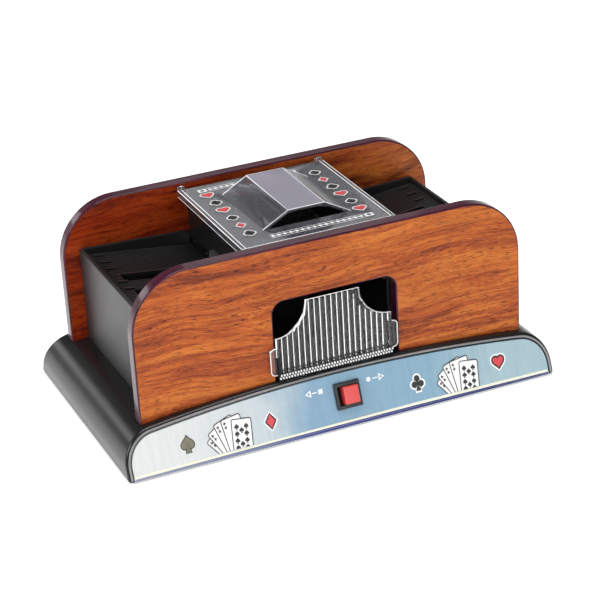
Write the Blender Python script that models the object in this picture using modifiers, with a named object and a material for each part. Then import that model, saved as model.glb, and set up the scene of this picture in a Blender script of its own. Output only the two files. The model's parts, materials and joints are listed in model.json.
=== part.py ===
"""Battery-powered card shuffler: an arched base carries two side boards, a feed tray at each end and a
centre tower.  A motor, gears and rubber rollers under each tray push the cards through the tower's slots
into a clear drawer, which pulls out at the front.

Metres.  X runs along the machine, -Y is the front, +Z is up, and the origin is on the table at the centre.
"""

import math

import bmesh
import bpy
from mathutils import Matrix

# Base: a low arched housing whose front and back faces lean inwards.
BASE_LENGTH = 0.235
BASE_DEPTH = 0.139
FACE_LEAN = 0.38
ARCH_TOP = 0.0298
ARCH_RADIUS = 0.933
END_RADIUS = 0.0173
BASE_UNDERSIDE = 0.0008
BASE_WALL = 0.0025
BASE_EDGE = 0.0015
PLATE_CLEARANCE = (0.0004, 0.0015)

# Clearance between pieces that touch, between round pieces that fit, how far joined shapes run into each
# other, and how far a cutter runs past a wall.
GAP = 0.0003
FIT = 0.0001
SLIVER = 0.00001
THROUGH = 0.01

# Decorative panel, let into the front face down to its lower edge.
PANEL_INSET = 0.003
PANEL_BOTTOM = 0.0012
PANEL_THICKNESS = 0.0006

# Side boards, which stand in slots in the base's top.
BOARD_LENGTH = 0.210
BOARD_TOP = 0.1002
BOARD_BOTTOM = 0.0205
BOARD_CORNER = 0.0308
BOARD_OUTER_Y = 0.0555
BOARD_THICKNESS = 0.007
BOARD_EDGE = 0.0008
WINDOW_CENTRE = 0.0012
WINDOW_WIDTH = 0.067
WINDOW_TOP = 0.0713
WINDOW_CORNER = 0.0065

# Feed trays.
TRAY_INNER_X = 0.0357
TRAY_OUTER_X = 0.0962
TRAY_HALF_DEPTH = 0.0482
TRAY_WALL = 0.0019
TRAY_RIM_OUTER = 0.0755
TRAY_RIM_INNER = 0.0730
FLOOR_OUTER_Z = 0.0726
FLOOR_SLOPE = 0.12
FLOOR_THICKNESS = 0.0018
FLOOR_OVERHANG = 0.002
ROLLER_SLOT_WIDTH = 0.0095
ROLLER_SLOT_END = 0.086
ROLLER_SLOT_START = 0.0385

# Centre tower and its clear cover.
TOWER_HALF_WIDTH = 0.0352
TOWER_WALL = 0.002
TOWER_TOP = 0.0962
FLANGE_HALF_WIDTH = 0.0395
FLANGE_THICKNESS = 0.002
TOWER_OPENING = (0.052, 0.060)
CARD_SLOT_HEIGHT = 0.0052
CARD_SLOT_LENGTH = 0.0924
COVER_HALF_WIDTH = 0.0415
COVER_HALF_DEPTH = 0.0437
COVER_TOP = 0.0980
COVER_THICKNESS = 0.0015
COVER_LIP = 0.0040
BUMP_CENTRE = 0.0006
BUMP_BASE = 0.0243
BUMP_RIDGE = 0.0102
BUMP_HEIGHT = 0.008
BUMP_FRONT = -0.0275
BUMP_BACK = 0.026

# Clear drawer with its ribbed front.
DRAWER_CENTRE = -0.0009
DRAWER_BOTTOM = 0.0305
DRAWER_THICKNESS = 0.0018
DRAWER_HALF_WIDTH = 0.0313
DRAWER_BACK = 0.044
DRAWER_WALL_TOP = 0.042
GATE_TOP = 0.0702
GATE_SHOULDER = 0.0527
GATE_RIDGE = 0.01425
GATE_BACK_Y = -0.0559
GATE_PLATE = 0.0014
RIB_PITCH = 0.00305
RIB_COUNT = 21
RIB_HEIGHT = 0.0017
EAR_HALF_WIDTH = 0.0347
EAR_BOTTOM = 0.033
EAR_TOP = 0.0475
EAR_CORNER = 0.0022

# Slide switch, square to the leaning face.
SWITCH_CENTRE = (0.002, 0.0161)
SWITCH_BEZEL = (0.014, 0.0136)
SWITCH_OPENING = (0.0118, 0.0106)
SWITCH_BODY_DEPTH = 0.0085
SWITCH_WELL_DEPTH = 0.003
BEZEL_THICKNESS = 0.0012
BEZEL_EDGE = 0.0003
WELL_WALL = 0.0004
KNOB_SIZE = (0.0082, 0.0092)
KNOB_REACH = (-0.0027, 0.0037)
KNOB_EDGE = 0.0005
KNOB_TRAVEL = 0.0022

# Batteries and their box.
CELL_RADIUS = 0.00725
CELL_LENGTH = 0.0492
CELL_PITCH = 0.0152
CELL_COUNT = 4
CELL_Z = 0.0109
NUB_RADIUS = 0.00275
NUB_LENGTH = 0.0012
BOX_HALF = (0.0283, 0.0306)
BOX_WALL = 0.0015
BOX_TOP = 0.0200
PLATE_TOP = 0.0028
DOOR_TOP = 0.0024
DOOR_GRIP = (0.004, 0.010)
DOOR_GRIP_HALF = 0.010
DOOR_GRIP_DEPTH = 0.0006
CELL_START = 0.005
CELL_SHOULDER = 0.0008
SPRING_WIRE = 0.00035
SPRING_RADII = (0.0045, 0.0032)
SPRING_TURNS = 3
SPRING_STEPS_PER_TURN = 7

# Drive: one train per tray, with module 0.6 mm gears on shafts along Y.
GEAR_MODULE = 0.0006
TEETH = {"pinion": 10, "idler_large": 48, "idler_small": 12, "roller": 24}
TOOTH_HEIGHT = 0.85
TOOTH_DEPTH = 1.15
TOOTH_TIP = 0.10
TOOTH_ROOT = 0.27
ROLLER_RADIUS = 0.012
ROLLER_WIDTH = 0.0085
ROLLER_Y = 0.01075
ROLLER_STAND = 0.0016
ROLLER_X = 0.048
IDLER_ANGLE = math.radians(50)
MOTOR_ANGLE = math.radians(29.7)
SHAFT_RADIUS = 0.002
IDLER_PIN_RADIUS = 0.0015
MOTOR_SHAFT_RADIUS = 0.001
MOTOR_RADIUS = 0.010
MOTOR_HALF_HEIGHT = 0.0075
MOTOR_LENGTH = 0.025
MOTOR_BOSS = (0.003, 0.0017)
MOTOR_BOSS_ROOT = 0.002
MOTOR_BORE_DEPTH = 0.008
MOTOR_EDGE = 0.0006
MOTOR_FIT = 0.0002
BUSH_RADIUS = 0.0035
BUSH_FLANGE = 0.0046
BUSH_LENGTH = 0.0023
BUSH_FLANGE_THICKNESS = 0.0008
BUSH_FIT = 0.00015
BUSH_END = 0.0002
ROLLER_EDGE = 0.0007
SIDE_PLATE_Y = (0.0335, 0.0355)
ROLLER_GEAR_Y = (0.0368, 0.0410)
LARGE_GEAR_Y = (0.0422, 0.0452)
SHAFT_FRONT_Y = -0.0480
SHAFT_BACK_Y = 0.0413
GEAR_END_PLAY = 0.0002
SMALL_GEAR_ROOT = 0.001
SHAFT_STUB = 0.0006
PLATE_INSET = (0.0018, 0.0020)
PAD_HALF = 0.012
PAD_SECTION = (0.0012, 0.0030)
PAD_STAND = 0.0014
PAD_RISE = (0.003, 0.008)

# Fasteners, feet and leads.
SCREW_AT = (0.088, 0.038)
BOSS_RADIUS = 0.0036
SCREW_RADIUS = 0.0013
SCREW_HEAD = (0.0028, 0.0012)
SCREW_LENGTH = 0.010
SCREW_TIP = (0.0005, 0.0015)
SCREW_HEAD_EDGE = 0.0004
SCREW_CROSS = (0.0018, 0.0003, 0.0006)
FOOT_AT = (0.099, 0.051)
FOOT_RADIUS = 0.005
FOOT_HEIGHT = 0.0015
FOOT_EDGE = 0.0004
LEAD_RADIUS = 0.0011
LEAD_HOLE = (0.083, 0.0, 0.004)
LEAD_PITCH = 0.0035
LEAD_SETBACK = 0.0016
LEAD_POINTS_PER_SPAN = 4
BATTERY_LEAD_BENDS = ((0.000, -0.047, 0.0105), (-0.004, -0.040, 0.0095))
BATTERY_LEAD_END = (-0.006, 0.011)
MOTOR_LEAD_BENDS = ((0.010, -0.046, 0.0105), (0.040, -0.042, 0.0070), (0.066, -0.030, 0.0065),
                    (0.080, -0.010, 0.0110), (0.083, 0.0, 0.020), (0.083, 0.0, 0.030),
                    (0.078, 0.0005, 0.0377))

SIDES = {"left": -1, "right": 1}
HIGH = 0.2

MATERIALS = {
    "black_plastic": ((0.018, 0.018, 0.020), 0.38, 0.0),
    "matte_black_plastic": ((0.028, 0.028, 0.030), 0.55, 0.0),
    "foil": ((0.45, 0.62, 0.74), 0.32, 0.55),
    "wood_laminate": ((0.36, 0.10, 0.025), 0.35, 0.0),
    "clear_plastic": ((0.82, 0.85, 0.87), 0.08, 0.0),
    "red_plastic": ((0.62, 0.03, 0.03), 0.30, 0.0),
    "grey_plastic": ((0.22, 0.22, 0.23), 0.45, 0.0),
    "white_plastic": ((0.78, 0.77, 0.72), 0.40, 0.0),
    "rubber": ((0.06, 0.06, 0.06), 0.80, 0.0),
    "steel": ((0.62, 0.62, 0.64), 0.28, 1.0),
    "brass": ((0.72, 0.50, 0.20), 0.30, 1.0),
    "bronze": ((0.50, 0.33, 0.16), 0.42, 1.0),
    "battery_wrap": ((0.10, 0.22, 0.36), 0.30, 0.3),
    "wire": ((0.55, 0.04, 0.03), 0.45, 0.0),
}


# ---------------------------------------------------------------- scene helpers

def clear_scene():
    for obj in list(bpy.data.objects):
        bpy.data.objects.remove(obj)


def new_collection(name, hidden=False):
    collection = bpy.data.collections.new(name)
    bpy.context.scene.collection.children.link(collection)
    collection.hide_render = hidden
    return collection


def make_material(name):
    colour, roughness, metallic = MATERIALS[name]
    material = bpy.data.materials.new(name)
    material.use_nodes = True
    shader = material.node_tree.nodes["Principled BSDF"]
    shader.inputs["Base Color"].default_value = (*colour, 1.0)
    shader.inputs["Roughness"].default_value = roughness
    shader.inputs["Metallic"].default_value = metallic
    return material


def material_named(name):
    return bpy.data.materials.get(name) or make_material(name)


def add_object(name, mesh, material, location=(0, 0, 0), rotation=(0, 0, 0)):
    obj = bpy.data.objects.new(name, mesh)
    obj.location = location
    obj.rotation_euler = rotation
    mesh.materials.clear()
    mesh.materials.append(material_named(material))
    PARTS.objects.link(obj)
    return obj


def shade_round(obj, sharp_degrees=35):
    obj.data.shade_smooth()
    obj.data.set_sharp_from_angle(angle=math.radians(sharp_degrees))
    return obj


def add_cutter(name, mesh):
    obj = bpy.data.objects.new(name, mesh)
    obj.hide_render = True
    obj.display_type = "WIRE"
    CUTTERS.objects.link(obj)
    return obj


def boolean(obj, operation, name, mesh, solver="EXACT"):
    modifier = obj.modifiers.new(name, "BOOLEAN")
    modifier.operation = operation
    modifier.solver = solver
    modifier.object = add_cutter(f"{obj.name}.{name}", mesh)


def cut(obj, name, mesh, solver="EXACT"):
    boolean(obj, "DIFFERENCE", name, mesh, solver)


def join(obj, name, mesh):
    boolean(obj, "UNION", name, mesh)


def round_edges(obj, width, segments=2, degrees=40):
    modifier = obj.modifiers.new("rounded_edges", "BEVEL")
    modifier.width = width
    modifier.segments = segments
    modifier.limit_method = "ANGLE"
    modifier.angle_limit = math.radians(degrees)
    return obj


# ---------------------------------------------------------------- shape helpers

def mesh_from(bm):
    bmesh.ops.recalc_face_normals(bm, faces=bm.faces)
    mesh = bpy.data.meshes.new("shape")
    bm.to_mesh(mesh)
    bm.free()
    return mesh


def arc(centre, radius, start, end, steps=8):
    """Points on an arc, angles in radians, from start to end inclusive."""
    radius_x, radius_z = radius if isinstance(radius, tuple) else (radius, radius)
    angles = [start + (end - start) * i / steps for i in range(steps + 1)]
    return [(centre[0] + radius_x * math.cos(a), centre[1] + radius_z * math.sin(a)) for a in angles]


def filled_outline(loops, thickness):
    """A flat piece in XY, thickness along Z from 0: the first loop is its edge and the others are holes."""
    curve = bpy.data.curves.new("outline", "CURVE")
    curve.dimensions = "2D"
    curve.fill_mode = "BOTH"
    curve.extrude = thickness / 2
    for loop in loops:
        spline = curve.splines.new("POLY")
        spline.points.add(len(loop) - 1)
        for point, (x, y) in zip(spline.points, loop):
            point.co = (x, y, 0, 1)
        spline.use_cyclic_u = True
    holder = bpy.data.objects.new("outline", curve)
    PARTS.objects.link(holder)
    evaluated = holder.evaluated_get(bpy.context.evaluated_depsgraph_get())
    bm = bmesh.new()
    bm.from_mesh(bpy.data.meshes.new_from_object(evaluated))
    bpy.data.objects.remove(holder)
    bmesh.ops.remove_doubles(bm, verts=bm.verts, dist=SLIVER / 10)
    bmesh.ops.translate(bm, verts=bm.verts, vec=(0, 0, thickness / 2))
    return bm


def prism_y(loops, y_start, y_end):
    """An outline in XZ drawn along Y."""
    bm = filled_outline(loops, y_end - y_start)
    bm.transform(Matrix.Translation((0, y_end, 0)) @ Matrix.Rotation(math.pi / 2, 4, "X"))
    return bm


def slab(outline, z_start, z_end):
    """An outline in XY drawn up from z_start to z_end."""
    bm = filled_outline([outline], z_end - z_start)
    bmesh.ops.translate(bm, verts=bm.verts, vec=(0, 0, z_start))
    return bm


def box(x, y, z):
    """A box from its limits along each axis."""
    bm = bmesh.new()
    bmesh.ops.create_cube(bm, size=1)
    sizes = [high - low for low, high in (x, y, z)]
    middles = [(high + low) / 2 for low, high in (x, y, z)]
    bm.transform(Matrix.Translation(middles) @ Matrix.Diagonal((*sizes, 1)))
    return bm


def cylinder(radius, start, end, segments=24, axis="Z", centre=(0, 0)):
    """A cylinder along Z or Y; centre is its place across the axis."""
    bm = bmesh.new()
    bmesh.ops.create_cone(bm, cap_ends=True, segments=segments, radius1=radius, radius2=radius,
                          depth=end - start)
    middle = (start + end) / 2
    if axis == "Z":
        place = Matrix.Translation((centre[0], centre[1], middle))
    else:
        place = Matrix.Translation((centre[0], middle, centre[1])) @ Matrix.Rotation(math.pi / 2, 4, "X")
    bm.transform(place)
    return bm


def merged(*parts):
    """One mesh that holds several separate shapes, for a cutter."""
    bm = bmesh.new()
    for part in parts:
        mesh = mesh_from(part)
        bm.from_mesh(mesh)
        bpy.data.meshes.remove(mesh)
    return bm


def turned(name, profile, material, location, axis_rotation=(math.pi / 2, 0, 0), steps=24):
    """A turned piece: the profile's (radius, height) points run down the outer side."""
    mesh = bpy.data.meshes.new(name)
    bm = bmesh.new()
    verts = [bm.verts.new((radius, 0, height)) for radius, height in profile]
    for first, second in zip(verts, verts[1:]):
        bm.edges.new((first, second))
    if profile[0][0] > 0:
        bm.edges.new((verts[-1], verts[0]))
    bm.to_mesh(mesh)
    bm.free()
    obj = add_object(name, mesh, material, location, axis_rotation)
    screw = obj.modifiers.new("turn", "SCREW")
    screw.steps = steps
    screw.render_steps = steps
    screw.use_merge_vertices = True
    screw.merge_threshold = SLIVER
    weld = obj.modifiers.new("seam", "WELD")
    weld.merge_threshold = SLIVER
    return obj


def wire(name, points, radius, material, bevel_resolution=1):
    """A round wire with closed ends through the given points."""
    curve = bpy.data.curves.new(name, "CURVE")
    curve.dimensions = "3D"
    curve.bevel_depth = radius
    curve.bevel_resolution = bevel_resolution
    curve.use_fill_caps = True
    spline = curve.splines.new("POLY")
    spline.points.add(len(points) - 1)
    for point, co in zip(spline.points, points):
        point.co = (*co, 1)
    obj = bpy.data.objects.new(name, curve)
    curve.materials.append(material_named(material))
    PARTS.objects.link(obj)
    return obj


def smooth_path(stations, per_span=LEAD_POINTS_PER_SPAN):
    """Points on a smooth curve through the stations."""
    ends = [stations[0], *stations, stations[-1]]
    path = []
    for before, start, end, after in zip(ends, ends[1:], ends[2:], ends[3:]):
        for step in range(per_span):
            t = step / per_span
            path.append(tuple(
                0.5 * (2 * b + (c - a) * t + (2 * a - 5 * b + 4 * c - d) * t * t
                       + (3 * b - a - 3 * c + d) * t ** 3)
                for a, b, c, d in zip(before, start, end, after)))
    return [*path, stations[-1]]


# ---------------------------------------------------------------- base

def arch_height(x):
    """Height of the base's top surface at x, for the arched stretch."""
    return ARCH_TOP - ARCH_RADIUS + math.sqrt(ARCH_RADIUS ** 2 - x ** 2)


def base_outline(inset, bottom):
    """The base's end-to-end outline in XZ, moved in by inset, down to the given bottom."""
    arch_centre = ARCH_TOP - ARCH_RADIUS
    corner_x = BASE_LENGTH / 2 - END_RADIUS
    corner_z = arch_centre + math.sqrt((ARCH_RADIUS - END_RADIUS) ** 2 - corner_x ** 2)
    meet = math.atan2(corner_z - arch_centre, corner_x)
    right = arc((corner_x, corner_z), END_RADIUS - inset, 0, meet)
    top = arc((0, arch_centre), ARCH_RADIUS - inset, meet, math.pi - meet, 14)[1:-1]
    left = arc((-corner_x, corner_z), END_RADIUS - inset, math.pi - meet, math.pi)
    end_x = BASE_LENGTH / 2 - inset
    return [(end_x, bottom), *right, *top, *left, (-end_x, bottom)]


def face_y(z):
    """Y of the front face at height z."""
    return -BASE_DEPTH / 2 + FACE_LEAN * z


def leaning_prism(inset, bottom, front, back):
    """The base's outline drawn from front to back, each end moved in from its leaning face."""
    bm = prism_y([base_outline(inset, bottom)], -1, 1)
    for vert in bm.verts:
        y = face_y(vert.co.z)
        vert.co.y = y + front if vert.co.y < 0 else -y - back
    return bm


def face_sheet(inset, bottom, front, back):
    """A sheet of the base's outline that lies along the front face, between two depths behind it."""
    bm = prism_y([base_outline(inset, bottom)], -1, 1)
    for vert in bm.verts:
        vert.co.y = face_y(vert.co.z) + (front if vert.co.y < 0 else back)
    return bm


def lean_angle():
    return math.atan(FACE_LEAN)


def on_face(bm, x, z):
    """Moves a shape from its own frame, Z outwards and Y up the slope, to the front face."""
    place = Matrix.Translation((x, face_y(z), z)) @ Matrix.Rotation(math.pi / 2 - lean_angle(), 4, "X")
    bm.transform(place)
    return bm


def four_corners(at):
    return [(sx * at[0], sy * at[1]) for sx in (-1, 1) for sy in (-1, 1)]


def switch_hole(extra):
    half_x, half_y = SWITCH_OPENING[0] / 2 + extra, SWITCH_OPENING[1] / 2 + extra
    return on_face(box((-half_x, half_x), (-half_y, half_y), (-THROUGH, THROUGH)), *SWITCH_CENTRE)


def make_base_shell():
    shell = add_object("base_shell", mesh_from(leaning_prism(0, BASE_UNDERSIDE, 0, 0)), "black_plastic")
    round_edges(shell, BASE_EDGE)
    cut(shell, "hollow", mesh_from(leaning_prism(BASE_WALL, -BASE_WALL, BASE_WALL, BASE_WALL)))
    bosses = [cylinder(BOSS_RADIUS, PLATE_TOP + GAP, arch_height(x) - BASE_WALL / 2, 16, centre=(x, y))
              for x, y in four_corners(SCREW_AT)]
    join(shell, "bosses", mesh_from(merged(*bosses)))
    holes = [cylinder(SCREW_RADIUS + FIT, 0, BASE_UNDERSIDE + SCREW_LENGTH + GAP, 12, centre=(x, y))
             for x, y in four_corners(SCREW_AT)]
    cut(shell, "screw_holes", mesh_from(merged(*holes)))
    board = BOARD_THICKNESS / 2 + GAP
    centre = BOARD_OUTER_Y - BOARD_THICKNESS / 2
    reach = BOARD_LENGTH / 2 + GAP
    slots = [box((-reach, reach), (y - board, y + board), (BOARD_BOTTOM - GAP, HIGH))
             for y in (-centre, centre)]
    cut(shell, "board_slots", mesh_from(merged(*slots)))
    lead_x, lead_y, lead_radius = LEAD_HOLE
    leads = [cylinder(lead_radius, BOX_TOP, HIGH, 12, centre=(side * lead_x, lead_y))
             for side in SIDES.values()]
    cut(shell, "lead_holes", mesh_from(merged(*leads)))
    pocket = face_sheet(PANEL_INSET - GAP, -THROUGH, -THROUGH, PANEL_THICKNESS + GAP)
    cut(shell, "panel_pocket", mesh_from(pocket))
    cut(shell, "switch_hole", mesh_from(switch_hole(GAP)))


def make_front_panel():
    sheet = face_sheet(PANEL_INSET, PANEL_BOTTOM, 0, PANEL_THICKNESS)
    panel = add_object("front_panel", mesh_from(sheet), "foil")
    cut(panel, "switch_hole", mesh_from(switch_hole(GAP)))


def make_base_plate():
    half_x = BASE_LENGTH / 2 - BASE_WALL - PLATE_CLEARANCE[0]
    half_y = BASE_DEPTH / 2 - BASE_WALL - PLATE_CLEARANCE[1]
    plate = add_object("base_plate", mesh_from(box((-half_x, half_x), (-half_y, half_y),
                                                   (BASE_UNDERSIDE, PLATE_TOP))), "matte_black_plastic")
    opening = box(*[(-half - GAP, half + GAP) for half in BOX_HALF], (-THROUGH, THROUGH))
    cut(plate, "battery_opening", mesh_from(opening))
    feet = [cylinder(FOOT_RADIUS + GAP, -THROUGH, FOOT_HEIGHT + GAP, 16, centre=at)
            for at in four_corners(FOOT_AT)]
    cut(plate, "foot_seats", mesh_from(merged(*feet)))
    heads = [cylinder(SCREW_HEAD[0] + GAP, -THROUGH, BASE_UNDERSIDE + SCREW_HEAD[1] + GAP, 12, centre=at)
             for at in four_corners(SCREW_AT)]
    cut(plate, "screw_seats", mesh_from(merged(*heads)))
    holes = [cylinder(SCREW_RADIUS + FIT, -THROUGH, THROUGH, 12, centre=at) for at in four_corners(SCREW_AT)]
    cut(plate, "screw_holes", mesh_from(merged(*holes)))


def cross_outline(reach, half):
    """A plus sign in XY."""
    quarter = [(reach, half), (half, half), (half, reach)]
    outline = []
    for _ in range(4):
        outline += quarter
        quarter = [(-y, x) for x, y in quarter]
    return outline


def make_feet_and_screws():
    for number, (x, y) in enumerate(four_corners(FOOT_AT), 1):
        profile = [(0, FOOT_HEIGHT), (FOOT_RADIUS, FOOT_HEIGHT), (FOOT_RADIUS, FOOT_EDGE),
                   (FOOT_RADIUS - FOOT_EDGE, 0), (0, 0)]
        shade_round(turned(f"foot_{number}", profile, "rubber", (x, y, 0), (0, 0, 0), 16))
    head_radius, head_height = SCREW_HEAD
    tip_radius, tip_length = SCREW_TIP
    cross_reach, cross_half, cross_depth = SCREW_CROSS
    for number, (x, y) in enumerate(four_corners(SCREW_AT), 1):
        profile = [(0, SCREW_LENGTH), (tip_radius, SCREW_LENGTH), (SCREW_RADIUS, SCREW_LENGTH - tip_length),
                   (SCREW_RADIUS, head_height), (head_radius, head_height), (head_radius, SCREW_HEAD_EDGE),
                   (head_radius - SCREW_HEAD_EDGE, 0), (0, 0)]
        screw = turned(f"base_screw_{number}", profile, "steel", (x, y, BASE_UNDERSIDE), (0, 0, 0), 12)
        slot = slab(cross_outline(cross_reach, cross_half), -THROUGH, cross_depth)
        bmesh.ops.translate(slot, verts=slot.verts, vec=(x, y, BASE_UNDERSIDE))
        cut(screw, "cross_recess", mesh_from(slot), "MANIFOLD")
        shade_round(screw)


# ---------------------------------------------------------------- boards

def board_outline(window):
    half = BOARD_LENGTH / 2
    corner_x, corner_z = half - BOARD_CORNER, BOARD_TOP - BOARD_CORNER
    outline = [(-half, BOARD_BOTTOM), *arc((-corner_x, corner_z), BOARD_CORNER, math.pi, math.pi / 2, 12),
               *arc((corner_x, corner_z), BOARD_CORNER, math.pi / 2, 0, 12), (half, BOARD_BOTTOM)]
    if window:
        left, right = WINDOW_CENTRE - WINDOW_WIDTH / 2, WINDOW_CENTRE + WINDOW_WIDTH / 2
        corner = WINDOW_TOP - WINDOW_CORNER
        outline += [(right, BOARD_BOTTOM),
                    *arc((right - WINDOW_CORNER, corner), WINDOW_CORNER, 0, math.pi / 2, 6),
                    *arc((left + WINDOW_CORNER, corner), WINDOW_CORNER, math.pi / 2, math.pi, 6),
                    (left, BOARD_BOTTOM)]
    return outline


def make_boards():
    for name, outer, window in (("front_board", -1, True), ("rear_board", 1, False)):
        low, high = sorted((outer * BOARD_OUTER_Y, outer * (BOARD_OUTER_Y - BOARD_THICKNESS)))
        board = add_object(name, mesh_from(prism_y([board_outline(window)], low, high)), "wood_laminate")
        shade_round(round_edges(board, BOARD_EDGE, 2))


# ---------------------------------------------------------------- trays, tower and cover

def floor_height(x):
    """Height of a tray floor's top surface at distance x from the centre."""
    return FLOOR_OUTER_Z - FLOOR_SLOPE * (TRAY_OUTER_X - TRAY_WALL - x)


def roller_axis():
    """(x, z) of the right-hand roller shaft."""
    return ROLLER_X, floor_height(ROLLER_X) + ROLLER_STAND - ROLLER_RADIUS


def base_top_cutter():
    return leaning_prism(-GAP, -THROUGH, -THROUGH, -THROUGH)


def mirrored(points, side):
    return [(side * x, z) for x, z in points]


def make_tray(side_name):
    side = SIDES[side_name]
    inner, outer = TRAY_INNER_X, TRAY_OUTER_X
    wall_outline = [(inner, BOARD_BOTTOM), (outer, BOARD_BOTTOM), (outer, TRAY_RIM_OUTER),
                    (inner, TRAY_RIM_INNER)]
    half = TRAY_HALF_DEPTH
    tray = add_object(f"{side_name}_tray", mesh_from(prism_y([mirrored(wall_outline, side)], -half, half)),
                      "matte_black_plastic")
    round_edges(tray, BOARD_EDGE / 2, 1)
    near, far = inner - FLOOR_OVERHANG, outer - TRAY_WALL
    depth = half - TRAY_WALL
    above = [(near, floor_height(near)), (far, floor_height(far)), (far, HIGH), (near, HIGH)]
    below = [(near, floor_height(near) - FLOOR_THICKNESS), (far, floor_height(far) - FLOOR_THICKNESS),
             (far, 0), (near, 0)]
    cut(tray, "card_space", mesh_from(prism_y([mirrored(above, side)], -depth, depth)))
    cut(tray, "under_floor", mesh_from(prism_y([mirrored(below, side)], -depth, depth)))
    cut(tray, "base_top", mesh_from(base_top_cutter()))
    slot_x = sorted((side * ROLLER_SLOT_START, side * ROLLER_SLOT_END))
    slot_z = (floor_height(0), TRAY_RIM_OUTER)
    slots = [box(slot_x, (y - ROLLER_SLOT_WIDTH / 2, y + ROLLER_SLOT_WIDTH / 2), slot_z)
             for y in (-ROLLER_Y, ROLLER_Y)]
    cut(tray, "roller_slots", mesh_from(merged(*slots)))
    x, z = roller_axis()
    cut(tray, "bush_hole", mesh_from(cylinder(BUSH_RADIUS + FIT, -half - THROUGH, -depth + THROUGH, 20, "Y",
                                               (side * x, z))))


def make_tower():
    half_x, half_y = TOWER_HALF_WIDTH, TRAY_HALF_DEPTH
    tower = add_object("centre_tower", mesh_from(box((-half_x, half_x), (-half_y, half_y),
                                                     (BOARD_BOTTOM, TOWER_TOP))), "black_plastic")
    flange = box((-FLANGE_HALF_WIDTH, FLANGE_HALF_WIDTH), (-half_y - SLIVER, half_y + SLIVER),
                 (TOWER_TOP - FLANGE_THICKNESS, TOWER_TOP + SLIVER))
    join(tower, "flange", mesh_from(flange))
    in_x, in_y = half_x - TOWER_WALL, half_y - TOWER_WALL
    cut(tower, "chamber", mesh_from(box((-in_x, in_x), (-in_y, in_y), (0, TOWER_TOP - FLANGE_THICKNESS))))
    cut(tower, "top_opening", mesh_from(box(*[(-size / 2, size / 2) for size in TOWER_OPENING],
                                            (TOWER_TOP - THROUGH, HIGH))))
    cut(tower, "drawer_mouth", mesh_from(box((-in_x - SLIVER, in_x + SLIVER),
                                             (-half_y - THROUGH, -in_y + THROUGH),
                                             (-THROUGH, WINDOW_TOP + GAP))))
    slot_low = floor_height(TOWER_HALF_WIDTH)
    slots = box((-half_x - THROUGH, half_x + THROUGH), (-CARD_SLOT_LENGTH / 2, CARD_SLOT_LENGTH / 2),
                (slot_low, slot_low + CARD_SLOT_HEIGHT))
    cut(tower, "card_slots", mesh_from(slots))
    cut(tower, "base_top", mesh_from(base_top_cutter()))


def bump_outline(inset):
    """The cover's raised channel in XZ; inset moves every side in, and the foot runs below the plate."""
    lean = math.atan2(BUMP_HEIGHT, BUMP_BASE - BUMP_RIDGE)
    ridge = BUMP_RIDGE - inset * math.tan(lean / 2)
    base = BUMP_BASE - inset / math.sin(lean)
    run = (BUMP_BASE - BUMP_RIDGE) / BUMP_HEIGHT
    foot_drop = COVER_THICKNESS * 2 if inset else COVER_THICKNESS / 2
    foot = base + foot_drop * run
    top, bottom = COVER_TOP + BUMP_HEIGHT - inset, COVER_TOP - foot_drop
    return [(BUMP_CENTRE + x, z) for x, z in ((-foot, bottom), (-ridge, top), (ridge, top), (foot, bottom))]


def make_cover():
    half_x, half_y = COVER_HALF_WIDTH, COVER_HALF_DEPTH
    cover = add_object("top_cover", mesh_from(box((-half_x, half_x), (-half_y, half_y),
                                                  (COVER_TOP - COVER_LIP, COVER_TOP))), "clear_plastic")
    round_edges(cover, BOARD_EDGE / 2, 1)
    in_x = half_x - COVER_THICKNESS
    under = box((-in_x, in_x), (-half_y - THROUGH, half_y + THROUGH), (0, COVER_TOP - COVER_THICKNESS))
    cut(cover, "underside", mesh_from(under))
    join(cover, "bump", mesh_from(prism_y([bump_outline(0)], BUMP_FRONT, BUMP_BACK)))
    cut(cover, "bump_inside", mesh_from(prism_y([bump_outline(COVER_THICKNESS)], BUMP_FRONT - FIT,
                                                BUMP_BACK - COVER_THICKNESS)))


# ---------------------------------------------------------------- drawer

def gate_outline():
    """The drawer front seen from the front: a raised middle, two shoulders and an ear on each side."""
    half, ear = DRAWER_HALF_WIDTH, EAR_HALF_WIDTH
    swoop = (half - GATE_RIDGE, GATE_TOP - GATE_SHOULDER)
    right = [(half, DRAWER_BOTTOM), (half, EAR_BOTTOM),
             *arc((ear - EAR_CORNER, EAR_BOTTOM + EAR_CORNER), EAR_CORNER, -math.pi / 2, 0, 4),
             *arc((ear - EAR_CORNER, EAR_TOP - EAR_CORNER), EAR_CORNER, 0, math.pi / 2, 4),
             (half, EAR_TOP), *arc((half, GATE_TOP), swoop, 1.5 * math.pi, math.pi, 8)]
    left = [(-x, z) for x, z in reversed(right)]
    return [(DRAWER_CENTRE + x, z) for x, z in [*right, *left]]


def ribbed_sheet():
    """An upright sheet whose front swells into rounded ribs, wider and taller than the gate."""
    first = -(RIB_COUNT - 1) / 2 * RIB_PITCH
    front = []
    for index in range(RIB_COUNT):
        middle = DRAWER_CENTRE + first + index * RIB_PITCH
        front += arc((middle, GATE_BACK_Y - GATE_PLATE), (RIB_PITCH / 3, -RIB_HEIGHT), math.pi, 0, 4)
    side = EAR_HALF_WIDTH + THROUGH
    outline = [(DRAWER_CENTRE - side, GATE_BACK_Y), (DRAWER_CENTRE - side, GATE_BACK_Y - GATE_PLATE), *front,
               (DRAWER_CENTRE + side, GATE_BACK_Y - GATE_PLATE), (DRAWER_CENTRE + side, GATE_BACK_Y)]
    return slab(outline, DRAWER_BOTTOM - THROUGH, GATE_TOP + THROUGH)


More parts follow.
